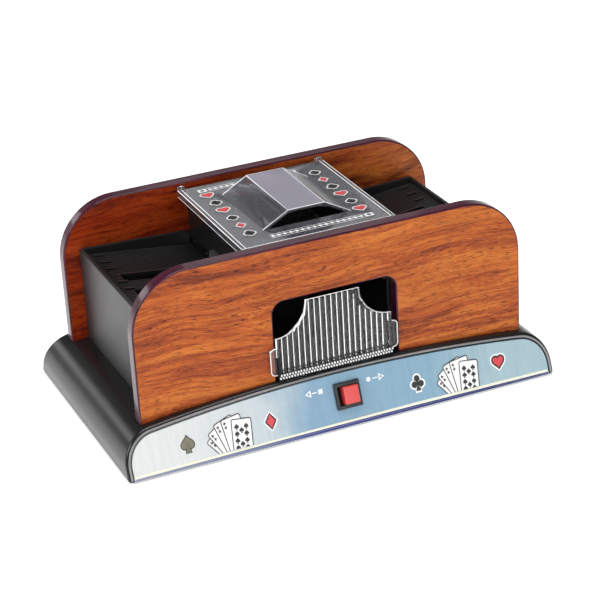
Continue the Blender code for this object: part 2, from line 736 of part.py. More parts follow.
def make_drawer():
    drawer = add_object("card_drawer", mesh_from(ribbed_sheet()), "clear_plastic")
    outline = prism_y([gate_outline()], GATE_BACK_Y - THROUGH, GATE_BACK_Y + THROUGH)
    boolean(drawer, "INTERSECT", "gate_outline", mesh_from(outline))
    left, right = DRAWER_CENTRE - DRAWER_HALF_WIDTH, DRAWER_CENTRE + DRAWER_HALF_WIDTH
    front = GATE_BACK_Y - GATE_PLATE / 2
    tub = box((left, right), (front, DRAWER_BACK), (DRAWER_BOTTOM + SLIVER, DRAWER_WALL_TOP))
    join(drawer, "tub", mesh_from(tub))
    inside = box((left + DRAWER_THICKNESS, right - DRAWER_THICKNESS),
                 (GATE_BACK_Y, DRAWER_BACK - DRAWER_THICKNESS),
                 (DRAWER_BOTTOM + DRAWER_THICKNESS, HIGH))
    cut(drawer, "card_space", mesh_from(inside))


# ---------------------------------------------------------------- switch

def make_switch():
    bezel_x, bezel_y = (size / 2 for size in SWITCH_BEZEL)
    hole_x, hole_y = (size / 2 for size in SWITCH_OPENING)
    bezel_low, bezel_high = GAP, GAP + BEZEL_THICKNESS
    turn = (math.pi / 2 - lean_angle(), 0, 0)
    x, z = SWITCH_CENTRE
    place = (x, face_y(z), z)
    body = add_object("switch_body", mesh_from(box((-bezel_x, bezel_x), (-bezel_y, bezel_y),
                                                   (bezel_low, bezel_high))), "black_plastic", place, turn)
    round_edges(body, BEZEL_EDGE, 1)
    housing = on_face(box((-hole_x, hole_x), (-hole_y, hole_y),
                          (-SWITCH_BODY_DEPTH, bezel_low + BEZEL_THICKNESS / 2)), x, z)
    join(body, "housing", mesh_from(housing))
    well_x, well_y = hole_x - WELL_WALL, hole_y - WELL_WALL
    well = on_face(box((-well_x, well_x), (-well_y, well_y), (-SWITCH_WELL_DEPTH, THROUGH)), x, z)
    cut(body, "well", mesh_from(well))
    knob_x, knob_y = (size / 2 for size in KNOB_SIZE)
    knob_place = (x + KNOB_TRAVEL / 2, face_y(z), z)
    knob = add_object("switch_knob", mesh_from(box((-knob_x, knob_x), (-knob_y, knob_y), KNOB_REACH)),
                      "red_plastic", knob_place, turn)
    shade_round(round_edges(knob, KNOB_EDGE))


# ---------------------------------------------------------------- batteries

def make_battery_box():
    half_x, half_y = (half + BOX_WALL for half in BOX_HALF)
    case = add_object("battery_box", mesh_from(box((-half_x, half_x), (-half_y, half_y),
                                                   (PLATE_TOP + GAP, BOX_TOP))), "matte_black_plastic")
    inside = box(*[(-half, half) for half in BOX_HALF], (0, BOX_TOP - BOX_WALL))
    cut(case, "inside", mesh_from(inside))


def make_battery_door():
    door = add_object("battery_door", mesh_from(box(*[(-half, half) for half in BOX_HALF],
                                                    (BASE_UNDERSIDE, DOOR_TOP))), "matte_black_plastic")
    grip = box([grip_x - BOX_HALF[0] for grip_x in DOOR_GRIP], (-DOOR_GRIP_HALF, DOOR_GRIP_HALF),
               (0, BASE_UNDERSIDE + DOOR_GRIP_DEPTH))
    cut(door, "thumb_recess", mesh_from(grip))


def make_cells():
    start = CELL_START - BOX_HALF[0]
    shoulder = CELL_RADIUS - CELL_SHOULDER
    tip = CELL_LENGTH + NUB_LENGTH
    profile = [(0, tip), (NUB_RADIUS, tip), (NUB_RADIUS, CELL_LENGTH), (shoulder, CELL_LENGTH),
               (CELL_RADIUS, CELL_LENGTH - CELL_SHOULDER), (CELL_RADIUS, CELL_SHOULDER),
               (shoulder, 0), (0, 0)]
    for index in range(CELL_COUNT):
        y = (index - (CELL_COUNT - 1) / 2) * CELL_PITCH
        way = 1 if index % 2 == 0 else -1
        shade_round(turned(f"battery_cell_{index + 1}", profile, "battery_wrap", (way * start, y, CELL_Z),
                           (0, way * math.pi / 2, 0), 16))
        make_spring(f"battery_spring_{index + 1}", y, way)


def make_spring(name, y, way):
    """A tapering coil between the box's end wall and a cell's flat end; way is 1 where that is at -X."""
    wall = GAP + SPRING_WIRE - BOX_HALF[0]
    length = CELL_START - 2 * (GAP + SPRING_WIRE)
    wide, narrow = SPRING_RADII
    steps = SPRING_TURNS * SPRING_STEPS_PER_TURN
    coil = []
    for step in range(steps + 1):
        share = step / steps
        radius = wide + (narrow - wide) * share
        angle = 2 * math.pi * SPRING_TURNS * share
        coil.append((way * (wall + length * share), y + radius * math.cos(angle),
                     CELL_Z + radius * math.sin(angle)))
    wire(name, coil, SPRING_WIRE, "steel", 0)


# ---------------------------------------------------------------- drive

def gear_outline(teeth, turn=0.0):
    """Points round a spur gear with slim straight-sided teeth; turn is in radians."""
    pitch = GEAR_MODULE * teeth / 2
    root, tip = pitch - TOOTH_DEPTH * GEAR_MODULE, pitch + TOOTH_HEIGHT * GEAR_MODULE
    step = 2 * math.pi / teeth
    points = []
    for tooth in range(teeth):
        middle = turn + tooth * step
        for radius, offset in ((root, -TOOTH_ROOT), (tip, -TOOTH_TIP), (tip, TOOTH_TIP), (root, TOOTH_ROOT)):
            angle = middle + offset * step
            points.append((radius * math.cos(angle), radius * math.sin(angle)))
    return points


def ring(radius, segments=20):
    return arc((0, 0), radius, 0, 2 * math.pi * (segments - 1) / segments, segments - 1)


def gear_object(name, teeth, turn, bore, y_range, centre, material):
    """A gear whose object origin is on its own axis; it is drawn along Y."""
    start, end = y_range
    bm = prism_y([gear_outline(teeth, turn), ring(bore)], 0, end - start)
    return add_object(name, mesh_from(bm), material, (centre[0], start, centre[1]))


def drive_centres(side):
    """(x, z) of the roller shaft, the idler pin and the motor shaft."""
    x, z = roller_axis()
    first = GEAR_MODULE * (TEETH["roller"] + TEETH["idler_small"]) / 2
    second = GEAR_MODULE * (TEETH["idler_large"] + TEETH["pinion"]) / 2
    idler = (x + first * math.cos(IDLER_ANGLE), z - first * math.sin(IDLER_ANGLE))
    motor = (idler[0] + second * math.cos(MOTOR_ANGLE), idler[1] - second * math.sin(MOTOR_ANGLE))
    return [(side * px, pz) for px, pz in ((x, z), idler, motor)]


def make_rollers(side_name, centre):
    x, z = centre
    spindle = cylinder(SHAFT_RADIUS, SHAFT_FRONT_Y, SHAFT_BACK_Y, 20, "Y")
    shade_round(add_object(f"{side_name}_roller_shaft", mesh_from(spindle), "steel", (x, 0, z)))
    bore, shoulder, half = SHAFT_RADIUS + FIT, ROLLER_RADIUS - ROLLER_EDGE, ROLLER_WIDTH / 2
    profile = [(bore, half), (shoulder, half), (ROLLER_RADIUS, half - ROLLER_EDGE),
               (ROLLER_RADIUS, ROLLER_EDGE - half), (shoulder, -half), (bore, -half)]
    for end, y in (("front", -ROLLER_Y), ("rear", ROLLER_Y)):
        shade_round(turned(f"{side_name}_{end}_roller", profile, "rubber", (x, y, z), steps=24))
    make_bushes(side_name, centre)


def make_bushes(side_name, centre):
    bore = SHAFT_RADIUS + BUSH_FIT
    rim = BUSH_LENGTH + BUSH_FLANGE_THICKNESS
    profile = [(bore, rim), (BUSH_FLANGE, rim), (BUSH_FLANGE, BUSH_LENGTH), (BUSH_RADIUS, BUSH_LENGTH),
               (BUSH_RADIUS, 0), (bore, 0)]
    for end, y, way in (("front", SHAFT_FRONT_Y + BUSH_END, 1), ("rear", SIDE_PLATE_Y[1] + GAP, -1)):
        shade_round(turned(f"{side_name}_{end}_bush", profile, "bronze", (centre[0], y, centre[1]),
                           (-way * math.pi / 2, 0, 0), 16))


def make_gears(side_name, roller, idler, motor):
    shaft_bore = SHAFT_RADIUS + FIT
    roller_way = math.atan2(idler[1] - roller[1], idler[0] - roller[0])
    gear_object(f"{side_name}_roller_gear", TEETH["roller"], roller_way, shaft_bore, ROLLER_GEAR_Y, roller,
                "white_plastic")
    small_step = 2 * math.pi / TEETH["idler_small"]
    motor_way = math.atan2(motor[1] - idler[1], motor[0] - idler[0])
    start, end = LARGE_GEAR_Y
    bore = ring(IDLER_PIN_RADIUS + FIT, 16)
    large = prism_y([gear_outline(TEETH["idler_large"], motor_way), bore], start, end)
    gear = add_object(f"{side_name}_idler_gear", mesh_from(large), "white_plastic", (idler[0], 0, idler[1]))
    pinion_turn = roller_way + math.pi + small_step / 2
    small = prism_y([gear_outline(TEETH["idler_small"], pinion_turn), bore],
                    ROLLER_GEAR_Y[0] - GEAR_END_PLAY, start + SMALL_GEAR_ROOT)
    bmesh.ops.translate(small, verts=small.verts, vec=(idler[0], 0, idler[1]))
    join(gear, "small_gear", mesh_from(small))
    pin = cylinder(IDLER_PIN_RADIUS, SIDE_PLATE_Y[0] - GAP, TRAY_HALF_DEPTH - TRAY_WALL - GAP, 16, "Y")
    shade_round(add_object(f"{side_name}_idler_pin", mesh_from(pin), "steel", (idler[0], 0, idler[1])))
    pinion_step = 2 * math.pi / TEETH["pinion"]
    gear_object(f"{side_name}_pinion", TEETH["pinion"], motor_way + math.pi + pinion_step / 2,
                MOTOR_SHAFT_RADIUS + FIT, (start - GEAR_END_PLAY, end + GEAR_END_PLAY), motor, "brass")


def make_motor(side_name, centre):
    x, z = centre
    face = SIDE_PLATE_Y[0] - GAP
    clip = math.asin(MOTOR_HALF_HEIGHT / MOTOR_RADIUS)
    outline = [*arc((0, 0), MOTOR_RADIUS, -clip, clip, 8),
               *arc((0, 0), MOTOR_RADIUS, math.pi - clip, math.pi + clip, 8)]
    can = add_object(f"{side_name}_motor", mesh_from(prism_y([outline], face - MOTOR_LENGTH, face)), "steel",
                     (x, 0, z))
    round_edges(can, MOTOR_EDGE, 1)
    boss_radius, boss_length = MOTOR_BOSS
    boss = cylinder(boss_radius, face - MOTOR_BOSS_ROOT, face + boss_length, 20, "Y", (x, z))
    join(can, "boss", mesh_from(boss))
    bore_end = face - MOTOR_BORE_DEPTH
    bore = cylinder(MOTOR_SHAFT_RADIUS + MOTOR_FIT, bore_end, face + THROUGH, 16, "Y", (x, z))
    cut(can, "shaft_hole", mesh_from(bore))
    shade_round(can)
    spindle = cylinder(MOTOR_SHAFT_RADIUS, bore_end + GAP, LARGE_GEAR_Y[1] + SHAFT_STUB, 16, "Y")
    shade_round(add_object(f"{side_name}_motor_shaft", mesh_from(spindle), "steel", (x, 0, z)))


def make_side_plate(side_name, roller, idler, motor):
    """The upright plate that carries the motor, the idler pin and the roller shaft's rear bush."""
    side = SIDES[side_name]
    near, far = TRAY_INNER_X + PLATE_INSET[0], TRAY_OUTER_X - TRAY_WALL - PLATE_INSET[1]
    drop = FLOOR_THICKNESS + GAP
    outline = [(near, arch_height(near) + GAP * 2), (far, arch_height(near) + GAP * 2),
               (far, floor_height(far) - drop), (near, floor_height(near) - drop)]
    sheet = prism_y([mirrored(outline, side)], *SIDE_PLATE_Y)
    plate = add_object(f"{side_name}_gear_plate", mesh_from(sheet), "grey_plastic")
    low, high = SIDE_PLATE_Y[0] - THROUGH, SIDE_PLATE_Y[1] + THROUGH
    holes = [cylinder(BUSH_RADIUS + FIT, low, high, 20, "Y", roller),
             cylinder(IDLER_PIN_RADIUS + FIT, low, high, 16, "Y", idler),
             cylinder(MOTOR_BOSS[0] + MOTOR_FIT, low, high, 20, "Y", motor)]
    cut(plate, "bearing_holes", mesh_from(merged(*holes)))


def make_retard_pad(side_name):
    """The rubber pad over the tower's slot that holds back all but the lowest card."""
    side = SIDES[side_name]
    near, edge, far = (TOWER_HALF_WIDTH + depth for depth in (GAP, GAP + PAD_SECTION[0], PAD_SECTION[1]))
    low = floor_height(far) + PAD_STAND
    step, top = (low + rise for rise in PAD_RISE)
    outline = [(near, low), (edge, low), (far, step), (far, top), (near, top)]
    pad = prism_y([mirrored(outline, side)], -PAD_HALF, PAD_HALF)
    add_object(f"{side_name}_retard_pad", mesh_from(pad), "rubber")


def make_drive(side_name):
    roller, idler, motor = drive_centres(SIDES[side_name])
    make_rollers(side_name, roller)
    make_gears(side_name, roller, idler, motor)
    make_motor(side_name, motor)
    make_side_plate(side_name, roller, idler, motor)
    make_retard_pad(side_name)


def make_leads():
    x, z = SWITCH_CENTRE
    back_y = face_y(z) + SWITCH_BODY_DEPTH * math.cos(lean_angle()) + LEAD_SETBACK
    back_z = z - SWITCH_BODY_DEPTH * math.sin(lean_angle())
    box_front = -BOX_HALF[1] - BOX_WALL - LEAD_RADIUS
    end_x, end_z = BATTERY_LEAD_END
    wire("battery_lead", smooth_path([(x, back_y, back_z), *BATTERY_LEAD_BENDS, (end_x, box_front, end_z)]),
         LEAD_RADIUS, "wire")
    motor_back = SIDE_PLATE_Y[0] - GAP - MOTOR_LENGTH - LEAD_RADIUS
    for side_name, side in SIDES.items():
        motor_x, motor_z = drive_centres(side)[2]
        bends = [(side * bend_x, bend_y, bend_z) for bend_x, bend_y, bend_z in MOTOR_LEAD_BENDS]
        path = smooth_path([(x + side * LEAD_PITCH, back_y, back_z), *bends, (motor_x, motor_back, motor_z)])
        wire(f"{side_name}_motor_lead", path, LEAD_RADIUS, "wire")


clear_scene()
PARTS = new_collection("card_shuffler")
CUTTERS = new_collection("cutters", hidden=True)
make_base_shell()
make_front_panel()
make_base_plate()
make_feet_and_screws()
make_boards()
for tray_side in SIDES:
    make_tray(tray_side)
    make_drive(tray_side)
make_tower()
make_cover()
make_drawer()
make_switch()
make_battery_box()
make_battery_door()
make_cells()
make_leads()
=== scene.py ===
"""Looks of the card shuffler: fine-edged shells, laminate, printed foil, clear covers and their materials,
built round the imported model.  Metres; X runs along the machine, -Y is the front and +Z is up.
"""

import json
import math

import bmesh
import bpy
from mathutils import Matrix, Vector
from mathutils.geometry import intersect_point_line


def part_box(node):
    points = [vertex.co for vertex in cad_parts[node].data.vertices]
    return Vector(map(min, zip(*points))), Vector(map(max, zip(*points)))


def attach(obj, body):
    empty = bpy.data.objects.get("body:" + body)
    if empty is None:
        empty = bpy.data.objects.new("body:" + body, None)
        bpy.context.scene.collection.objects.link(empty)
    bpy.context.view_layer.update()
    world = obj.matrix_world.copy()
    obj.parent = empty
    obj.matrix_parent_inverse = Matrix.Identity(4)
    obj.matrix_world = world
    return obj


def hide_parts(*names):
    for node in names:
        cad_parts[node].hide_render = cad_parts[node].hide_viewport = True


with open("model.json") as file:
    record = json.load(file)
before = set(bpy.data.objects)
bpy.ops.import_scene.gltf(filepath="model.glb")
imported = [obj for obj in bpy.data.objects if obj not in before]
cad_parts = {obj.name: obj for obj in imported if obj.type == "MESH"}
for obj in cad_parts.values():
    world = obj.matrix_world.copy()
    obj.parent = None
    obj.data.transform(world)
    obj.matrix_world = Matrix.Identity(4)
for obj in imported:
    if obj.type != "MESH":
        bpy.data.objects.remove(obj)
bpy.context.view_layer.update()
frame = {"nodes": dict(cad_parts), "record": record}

# ---- driving sizes

MM = 0.001
BASE_LOW, BASE_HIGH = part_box("base_shell")
PANEL_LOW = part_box("front_panel")[0]
BOARD_LOW, BOARD_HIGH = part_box("front_board")
COVER_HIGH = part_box("top_cover")[1]
DRAWER_LOW, DRAWER_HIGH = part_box("card_drawer")

GAP = 0.3 * MM
HAIR = 0.01 * MM
WELD = 0.001 * MM
THROUGH = 10 * MM
FAR = 200 * MM
CUT, JOIN, KEEP_INSIDE = "DIFFERENCE", "UNION", "INTERSECT"

BASE_LENGTH = BASE_HIGH[0] - BASE_LOW[0]
BASE_DEPTH = 139 * MM
FACE_LEAN = 0.38
ARCH_TOP = BASE_HIGH[2]
ARCH_RADIUS = 933 * MM
END_RADIUS = 17.3 * MM
BASE_UNDERSIDE = BASE_LOW[2]
BASE_WALL = 2.5 * MM
PANEL_INSET = 3 * MM
PANEL_BOTTOM = PANEL_LOW[2]
PANEL_THICKNESS = 0.6 * MM
PLATE_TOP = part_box("base_plate")[1][2]
SCREW_BOXES = [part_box(f"base_screw_{number}") for number in range(1, 5)]
SCREW_RADIUS = 1.3 * MM
BOSS_RADIUS = 3.6 * MM
LEAD_HOLE = (83 * MM, 4 * MM)
FIT = 0.1 * MM

BOARD_LENGTH = BOARD_HIGH[0] - BOARD_LOW[0]
BOARD_TOP = BOARD_HIGH[2]
BOARD_BOTTOM = 20.5 * MM
BOARD_CORNER = 30.8 * MM
BOARD_OUTER_Y = -BOARD_LOW[1]
BOARD_THICKNESS = BOARD_HIGH[1] - BOARD_LOW[1]
BOARD_EDGE = 0.8 * MM
WINDOW_CENTRE = 1.2 * MM
WINDOW_WIDTH = 67 * MM
WINDOW_TOP = 71.3 * MM
WINDOW_CORNER = 6.5 * MM

TRAY_INNER_X = 35.7 * MM
TRAY_OUTER_X = 96.2 * MM
TRAY_HALF_DEPTH = 48.2 * MM
TRAY_WALL = 1.9 * MM
TRAY_RIM_OUTER = 75.5 * MM
TRAY_RIM_INNER = 73 * MM
FLOOR_OUTER_Z = 72.6 * MM
FLOOR_SLOPE = 0.12
FLOOR_THICKNESS = 1.8 * MM
ROLLER_SLOT_WIDTH = 9.5 * MM
ROLLER_SLOT = (38.5 * MM, 86 * MM)
ROLLER_SLOT_Z = (60 * MM, 80 * MM)
ROLLER_Y = 10.75 * MM
BUSH_RADIUS = 3.5 * MM
FLOOR_RIB_PITCH = 2.3 * MM
FLOOR_RIB_HALF_WIDTH = 0.4 * MM
FLOOR_RIB_HEIGHT = 0.35 * MM
FLOOR_RIB_SINK = 0.2 * MM
FLOOR_RIB_ENDS = (3.4 * MM, 1.2 * MM)
SLOT_MARGIN = 0.6 * MM
STOP_EVERY = 4
STOP_HEIGHT = 1.1 * MM
STOP_REACH = (9 * MM, 4 * MM)

TOWER_HALF_WIDTH = 35.2 * MM
TOWER_WALL = 2 * MM
TOWER_TOP = 96.2 * MM
FLANGE_HALF_WIDTH = 39.5 * MM
FLANGE_THICKNESS = 2 * MM
FLANGE_ROUND = 0.5 * MM
TOWER_OPENING = (52 * MM, 60 * MM)
CARD_SLOT_HEIGHT = 5.2 * MM
CARD_SLOT_LENGTH = 92.4 * MM
LIP_THICKNESS = 0.8 * MM
LIP_DEPTH = 5 * MM
LIP_OVERLAP = 0.1 * MM

COVER_HALF_WIDTH = COVER_HIGH[0]
COVER_HALF_DEPTH = COVER_HIGH[1]
COVER_TOP = 98 * MM
COVER_THICKNESS = 1.5 * MM
COVER_LIP = 4 * MM
COVER_LINE = 2.2 * MM
BUMP_CENTRE = 0.6 * MM
BUMP_BASE = 24.3 * MM
BUMP_RIDGE = 10.2 * MM
BUMP_HEIGHT = 8 * MM
BUMP_FRONT = -27.5 * MM
BUMP_BACK = 26 * MM
CATCH_X = (0.3 * MM, 4.2 * MM)
CATCH_Y = (-1.2 * MM, 1.8 * MM)
CATCH_Z = (-1.2 * MM, 1.6 * MM)

DRAWER_CENTRE = -0.9 * MM
DRAWER_BOTTOM = DRAWER_LOW[2]
DRAWER_THICKNESS = 1.8 * MM
DRAWER_HALF_WIDTH = 31.3 * MM
DRAWER_BACK = DRAWER_HIGH[1]
DRAWER_WALL_TOP = 42 * MM
GATE_TOP = DRAWER_HIGH[2]
GATE_SHOULDER = 52.7 * MM
GATE_RIDGE = 14.25 * MM
GATE_BACK_Y = -55.9 * MM
GATE_PLATE = 1.4 * MM
RIB_PITCH = 3.05 * MM
RIB_COUNT = 21
RIB_HEIGHT = 1.7 * MM
RIB_HALF_WIDTH = RIB_PITCH * 0.36
EAR_HALF_WIDTH = 34.7 * MM
EAR_BOTTOM = 33 * MM
EAR_TOP = 47.5 * MM
EAR_CORNER = 2.2 * MM
KNURL_Z = 31.5 * MM
KNURL_PITCH = 1.5 * MM
KNURL_LEAN = 0.5 * MM
KNURL_SINK = 0.25 * MM
KNURL_RADII = (0.50 * MM, 0.75 * MM, 0.62 * MM)

SWITCH_CENTRE = (2 * MM, 16.1 * MM)
SWITCH_BEZEL = (14 * MM, 13.6 * MM)
SWITCH_OPENING = (11.8 * MM, 10.6 * MM)
SWITCH_BODY_DEPTH = 8.5 * MM
SWITCH_WELL_DEPTH = 3 * MM
BEZEL_THICKNESS = 1.2 * MM
WELL_WALL = 0.4 * MM
KNOB_SIZE = (8.2 * MM, 9.2 * MM)
KNOB_REACH = (-2.7 * MM, 3.7 * MM)
KNOB_TRAVEL = 2.2 * MM
KNOB_TAPER = 0.02

FLUTES = 48
FLUTE_DEPTH = 0.25 * MM
TYRE_BORE = 2.1 * MM

SIDES = {"left": -1, "right": 1}


# ---- node materials

def configured(thing, **settings):
    """Sets several attributes of a Blender object and returns it."""
    for name, value in settings.items():
        setattr(thing, name, value)
    return thing


class Material:
    """A node material with a Principled shader; add() makes a node and links or sets its inputs."""

    def __init__(self, **shader):
        self.material = bpy.data.materials.new("finish")
        self.material.use_nodes = True
        self.tree = self.material.node_tree
        self.shader = self.tree.nodes["Principled BSDF"]
        self.coordinates = self.node("TexCoord").outputs["Object"]
        self.feed(self.shader, shader)

    def node(self, kind, **settings):
        return configured(self.tree.nodes.new("ShaderNode" + kind), **settings)

    def feed(self, node, inputs):
        for name, value in inputs.items():
            socket = node.inputs[name.replace("_", " ") if isinstance(name, str) else name]
            if isinstance(value, bpy.types.NodeSocket):
                self.tree.links.new(value, socket)
            elif isinstance(value, tuple) and len(value) == 3 and socket.type == "RGBA":
                socket.default_value = (*value, 1)
            else:
                socket.default_value = value

    def add(self, kind, output=0, **inputs):
        node = self.node(kind)
        self.feed(node, inputs)
        return node.outputs[output]

    def stretched(self, scale, vector=None):
        return self.add("Mapping", Vector=vector or self.coordinates, Scale=scale)

    def noise(self, scale, detail=2.0, roughness=0.5, distortion=0.0, vector=None):
        return self.add("TexNoise", Vector=vector or self.coordinates, Scale=scale, Detail=detail,
                        Roughness=roughness, Distortion=distortion)

    def grain(self, stretch, *character, vector=None):
        """Noise with its own frequency along each axis."""
        return self.noise(1.0, *character, vector=self.stretched(stretch, vector))

    def ramp(self, value, *stops):
        node = self.node("ValToRGB")
        self.tree.links.new(value, node.inputs[0])
        elements = node.color_ramp.elements
        while len(elements) < len(stops):
            elements.new(0.5)
        for element, (position, colour) in zip(elements, stops):
            element.position = position
            element.color = (*colour, 1) if isinstance(colour, tuple) else (colour, colour, colour, 1)
        return node.outputs[0]

    def math(self, operation, first, second=0.0, third=0.0):
        node = self.node("Math", operation=operation)
        self.feed(node, {0: first, 1: second, 2: third})
        return node.outputs[0]

    def scaled(self, value, factor, offset=0.0):
        return self.math("MULTIPLY_ADD", value, factor, offset)

    def mix(self, factor, first, second, blend="MIX"):
        node = self.node("Mix", data_type="RGBA", blend_type=blend)
        self.feed(node, {0: factor, 6: first, 7: second})
        return node.outputs[2]

    def along(self):
        """Distance along X."""
        return self.add("SeparateXYZ", Vector=self.coordinates)

    def drift(self, mottle, amount):
        """Place along the base, 0 at its left end and 1 at its right, unsettled by mottle."""
        place = self.scaled(self.along(), 1 / BASE_LENGTH, 0.5)
        return self.math("ADD", place, self.scaled(mottle, amount, -amount / 2))

    def finish(self, colour, wear, amount, least, height=None, strength=0.05, depth=0.02 * MM):
        """Sets the colour, a roughness that rises from least by amount * wear, and a bump from height."""
        self.feed(self.shader, {"Base Color": colour, "Roughness": self.scaled(wear, amount, least)})
        if height:
            normal = self.add("Bump", Height=height, Strength=strength, Distance=depth)
            self.tree.links.new(normal, self.shader.inputs["Normal"])
        return self.material


def shade_of(colour, factor, lift=0.0):
    return tuple(min(1, c * factor + lift) for c in colour)


def plastic(colour, roughness, grain=900, bump=0.12, lift=1.5, **shader):
    """Moulded plastic: fine texture, faint cloudy gloss and slightly lighter worn patches."""
    made = Material(**shader)
    cloud = made.noise(22, 2, 0.5)
    fine = made.noise(grain, 3, 0.6)
    tint = made.ramp(cloud, (0.35, colour), (0.75, shade_of(colour, lift, 0.004)))
    return made.finish(tint, cloud, roughness * 0.5, roughness * 0.75, fine, bump, 0.1 * MM)


def laminate(left=(0.96, 0.83, 0.76), right=(0.97, 0.87, 0.78), smoke_and_shade=0.25):
    """Satin wood laminate with the grain along X: streaks, broad figure, smoky patches and dark pores.

    left and right tint the two ends of the sheet. On the rear board the darker, redder left end is painted
    shade, and its heavy smoke is partly wood figure and partly painted shade.
    """
    made = Material(Specular_IOR_Level=0.22)
    slow = made.add("TexNoise", 1, Vector=made.stretched((11, 10, 24)), Scale=1.0, Detail=2.0)
    sway = made.node("VectorMath", operation="MULTIPLY_ADD")
    made.feed(sway, {0: slow, 1: (0.022, 0.022, 0.022), 2: made.coordinates})
    bent = sway.outputs[0]
    figure = made.grain((7, 60, 95), 3, 0.55, 0.7, vector=bent)
    streaks = made.grain((11, 280, 520), 4, 0.60, 0.3, vector=bent)
    threads = made.grain((55, 1200, 2400), 3, 0.6, vector=bent)
    dashes = made.grain((230, 1600, 2500), 2, 0.5, vector=bent)
    clouds = made.ramp(made.grain((11, 30, 42), 4, 0.62, 0.9, vector=bent), (0.50, 0.0), (0.66, 1.0))
    tone = made.scaled(threads, 0.25, made.scaled(figure, 0.40, made.scaled(streaks, 0.35)))
    wood = made.ramp(tone, (0.38, (0.150, 0.026, 0.006)), (0.46, (0.330, 0.064, 0.011)),
                     (0.51, (0.470, 0.112, 0.015)), (0.58, (0.600, 0.190, 0.030)))
    pores = made.ramp(dashes, (0.60, 0.0), (0.66, 1.0))
    flecks = made.ramp(dashes, (0.33, 1.0), (0.39, 0.0))
    # Smoky patches darken the wood; on the rear board their heavy amount is partly painted shade.
    smoked_and_shaded = made.mix(made.scaled(clouds, smoke_and_shade), wood, (0.075, 0.010, 0.004))
    flecked = made.mix(made.scaled(flecks, 0.25), smoked_and_shaded, (0.78, 0.36, 0.13))
    colour = made.mix(made.scaled(pores, 0.85), flecked, (0.050, 0.007, 0.003))
    # Tint from the left end to the right; on the rear board the darker, redder left end is painted shade.
    end_tint_and_shade = made.ramp(made.scaled(made.along(), 1 / BOARD_LENGTH, 0.5), (0.38, left), (0.85, right))
    height = made.math("SUBTRACT", made.scaled(threads, 0.35), pores)
    return made.finish(made.mix(1.0, colour, end_tint_and_shade, "MULTIPLY"), streaks, 0.20, 0.26, height, 0.32, 0.10 * MM)


def edge_band():
    """The dark band glued round a board's edge, with fine lines along it and lighter rubbed spots."""
    made = Material(Specular_IOR_Level=0.20, Coat_Weight=0.30, Coat_Roughness=0.06)
    lines = made.grain((40, 900, 40), 4, 0.6)
    rubbed = made.noise(60, 4, 0.65)
    dark = made.ramp(lines, (0.35, (0.026, 0.003, 0.009)), (0.70, (0.082, 0.009, 0.030)))
    colour = made.mix(made.ramp(rubbed, (0.62, 0.0), (0.78, 0.4)), dark, (0.12, 0.05, 0.06))
    return made.finish(colour, rubbed, 0.16, 0.14, lines, 0.10, 0.1 * MM)


def foil():
    """Brushed metallic film: silver white at the left turning light blue, with fine upright brushing."""
    made = Material(Metallic=0.15, Specular_IOR_Level=0.45)
    brushed = made.grain((1500, 90, 90), 3, 0.7)
    coarse = made.grain((420, 25, 25), 2, 0.6)
    tint = made.ramp(made.drift(made.grain((30, 60, 60), 3, 0.6), 0.16),
                     (0.14, (0.62, 0.64, 0.64)), (0.30, (0.50, 0.57, 0.60)), (0.42, (0.21, 0.35, 0.48)),
                     (0.72, (0.23, 0.39, 0.51)), (0.84, (0.36, 0.50, 0.56)))
    strokes = made.scaled(brushed, 0.5, made.scaled(coarse, 0.5))
    shade = made.ramp(strokes, (0.36, 0.88), (0.64, 1.0))
    return made.finish(made.mix(1.0, tint, shade, "MULTIPLY"), strokes, 0.25, 0.30, brushed, 0.15, 0.05 * MM)


def stripe_ink():
    """The stripe's ink: royal blue that pales towards the left end."""
    made = Material(Specular_IOR_Level=0.4)
    mottle = made.grain((150, 900, 900), 3, 0.6)
    colour = made.ramp(made.drift(mottle, 0.12), (0.05, (0.24, 0.25, 0.30)), (0.28, (0.14, 0.17, 0.28)),
                       (0.42, (0.024, 0.032, 0.19)), (0.90, (0.008, 0.010, 0.11)))
    return made.finish(colour, mottle, 0.2, 0.30, mottle)


def clear(tint, roughness, streak=40, through=1.0, index=1.49):
    """Clear moulded plastic with faint flow ripples and fine handling marks; through is how clear it is."""
    made = Material(Transmission_Weight=through, IOR=index)
    ripple = made.noise(streak, 2, 0.5)
    marks = made.ramp(made.grain((220, 900, 220), 3, 0.7), (0.55, 0.0), (0.80, 1.0))
    return made.finish(tint, marks, 0.10, roughness, ripple, 0.05, 0.3 * MM)


def metal(colour, roughness, stretch, scale=500):
    """Drawn or turned metal with fine lines along one way and a few duller patches."""
    made = Material(Metallic=1.0)
    lines = made.noise(scale, 3, 0.6, vector=made.stretched(stretch))
    cloud = made.noise(70, 3, 0.6)
    tint = made.ramp(cloud, (0.35, shade_of(colour, 0.72)), (0.70, colour))
    return made.finish(tint, lines, roughness * 0.8, roughness * 0.6, lines, 0.10, 0.05 * MM)


def rubber(colour, roughness=0.75):
    """Soft rubber with a dusty, slightly uneven surface."""
    made = Material(Sheen_Weight=0.15, Sheen_Roughness=0.5)
    dust = made.noise(240, 5, 0.7)
    pits = made.noise(1600, 2, 0.6)
    tint = made.ramp(dust, (0.42, colour), (0.78, shade_of(colour, 1.9, 0.008)))
    return made.finish(tint, dust, 0.2, roughness - 0.1, pits, 0.25, 0.1 * MM)


def ink(colour, roughness=0.38):
    """Printed ink: nearly even, with slight mottling and its own faint gloss."""
    made = Material()
    mottle = made.noise(1300, 3, 0.7)
    tint = made.ramp(mottle, (0.35, shade_of(colour, 0.88, 0.012)), (0.65, colour))
    return made.finish(tint, mottle, 0.15, roughness, mottle)


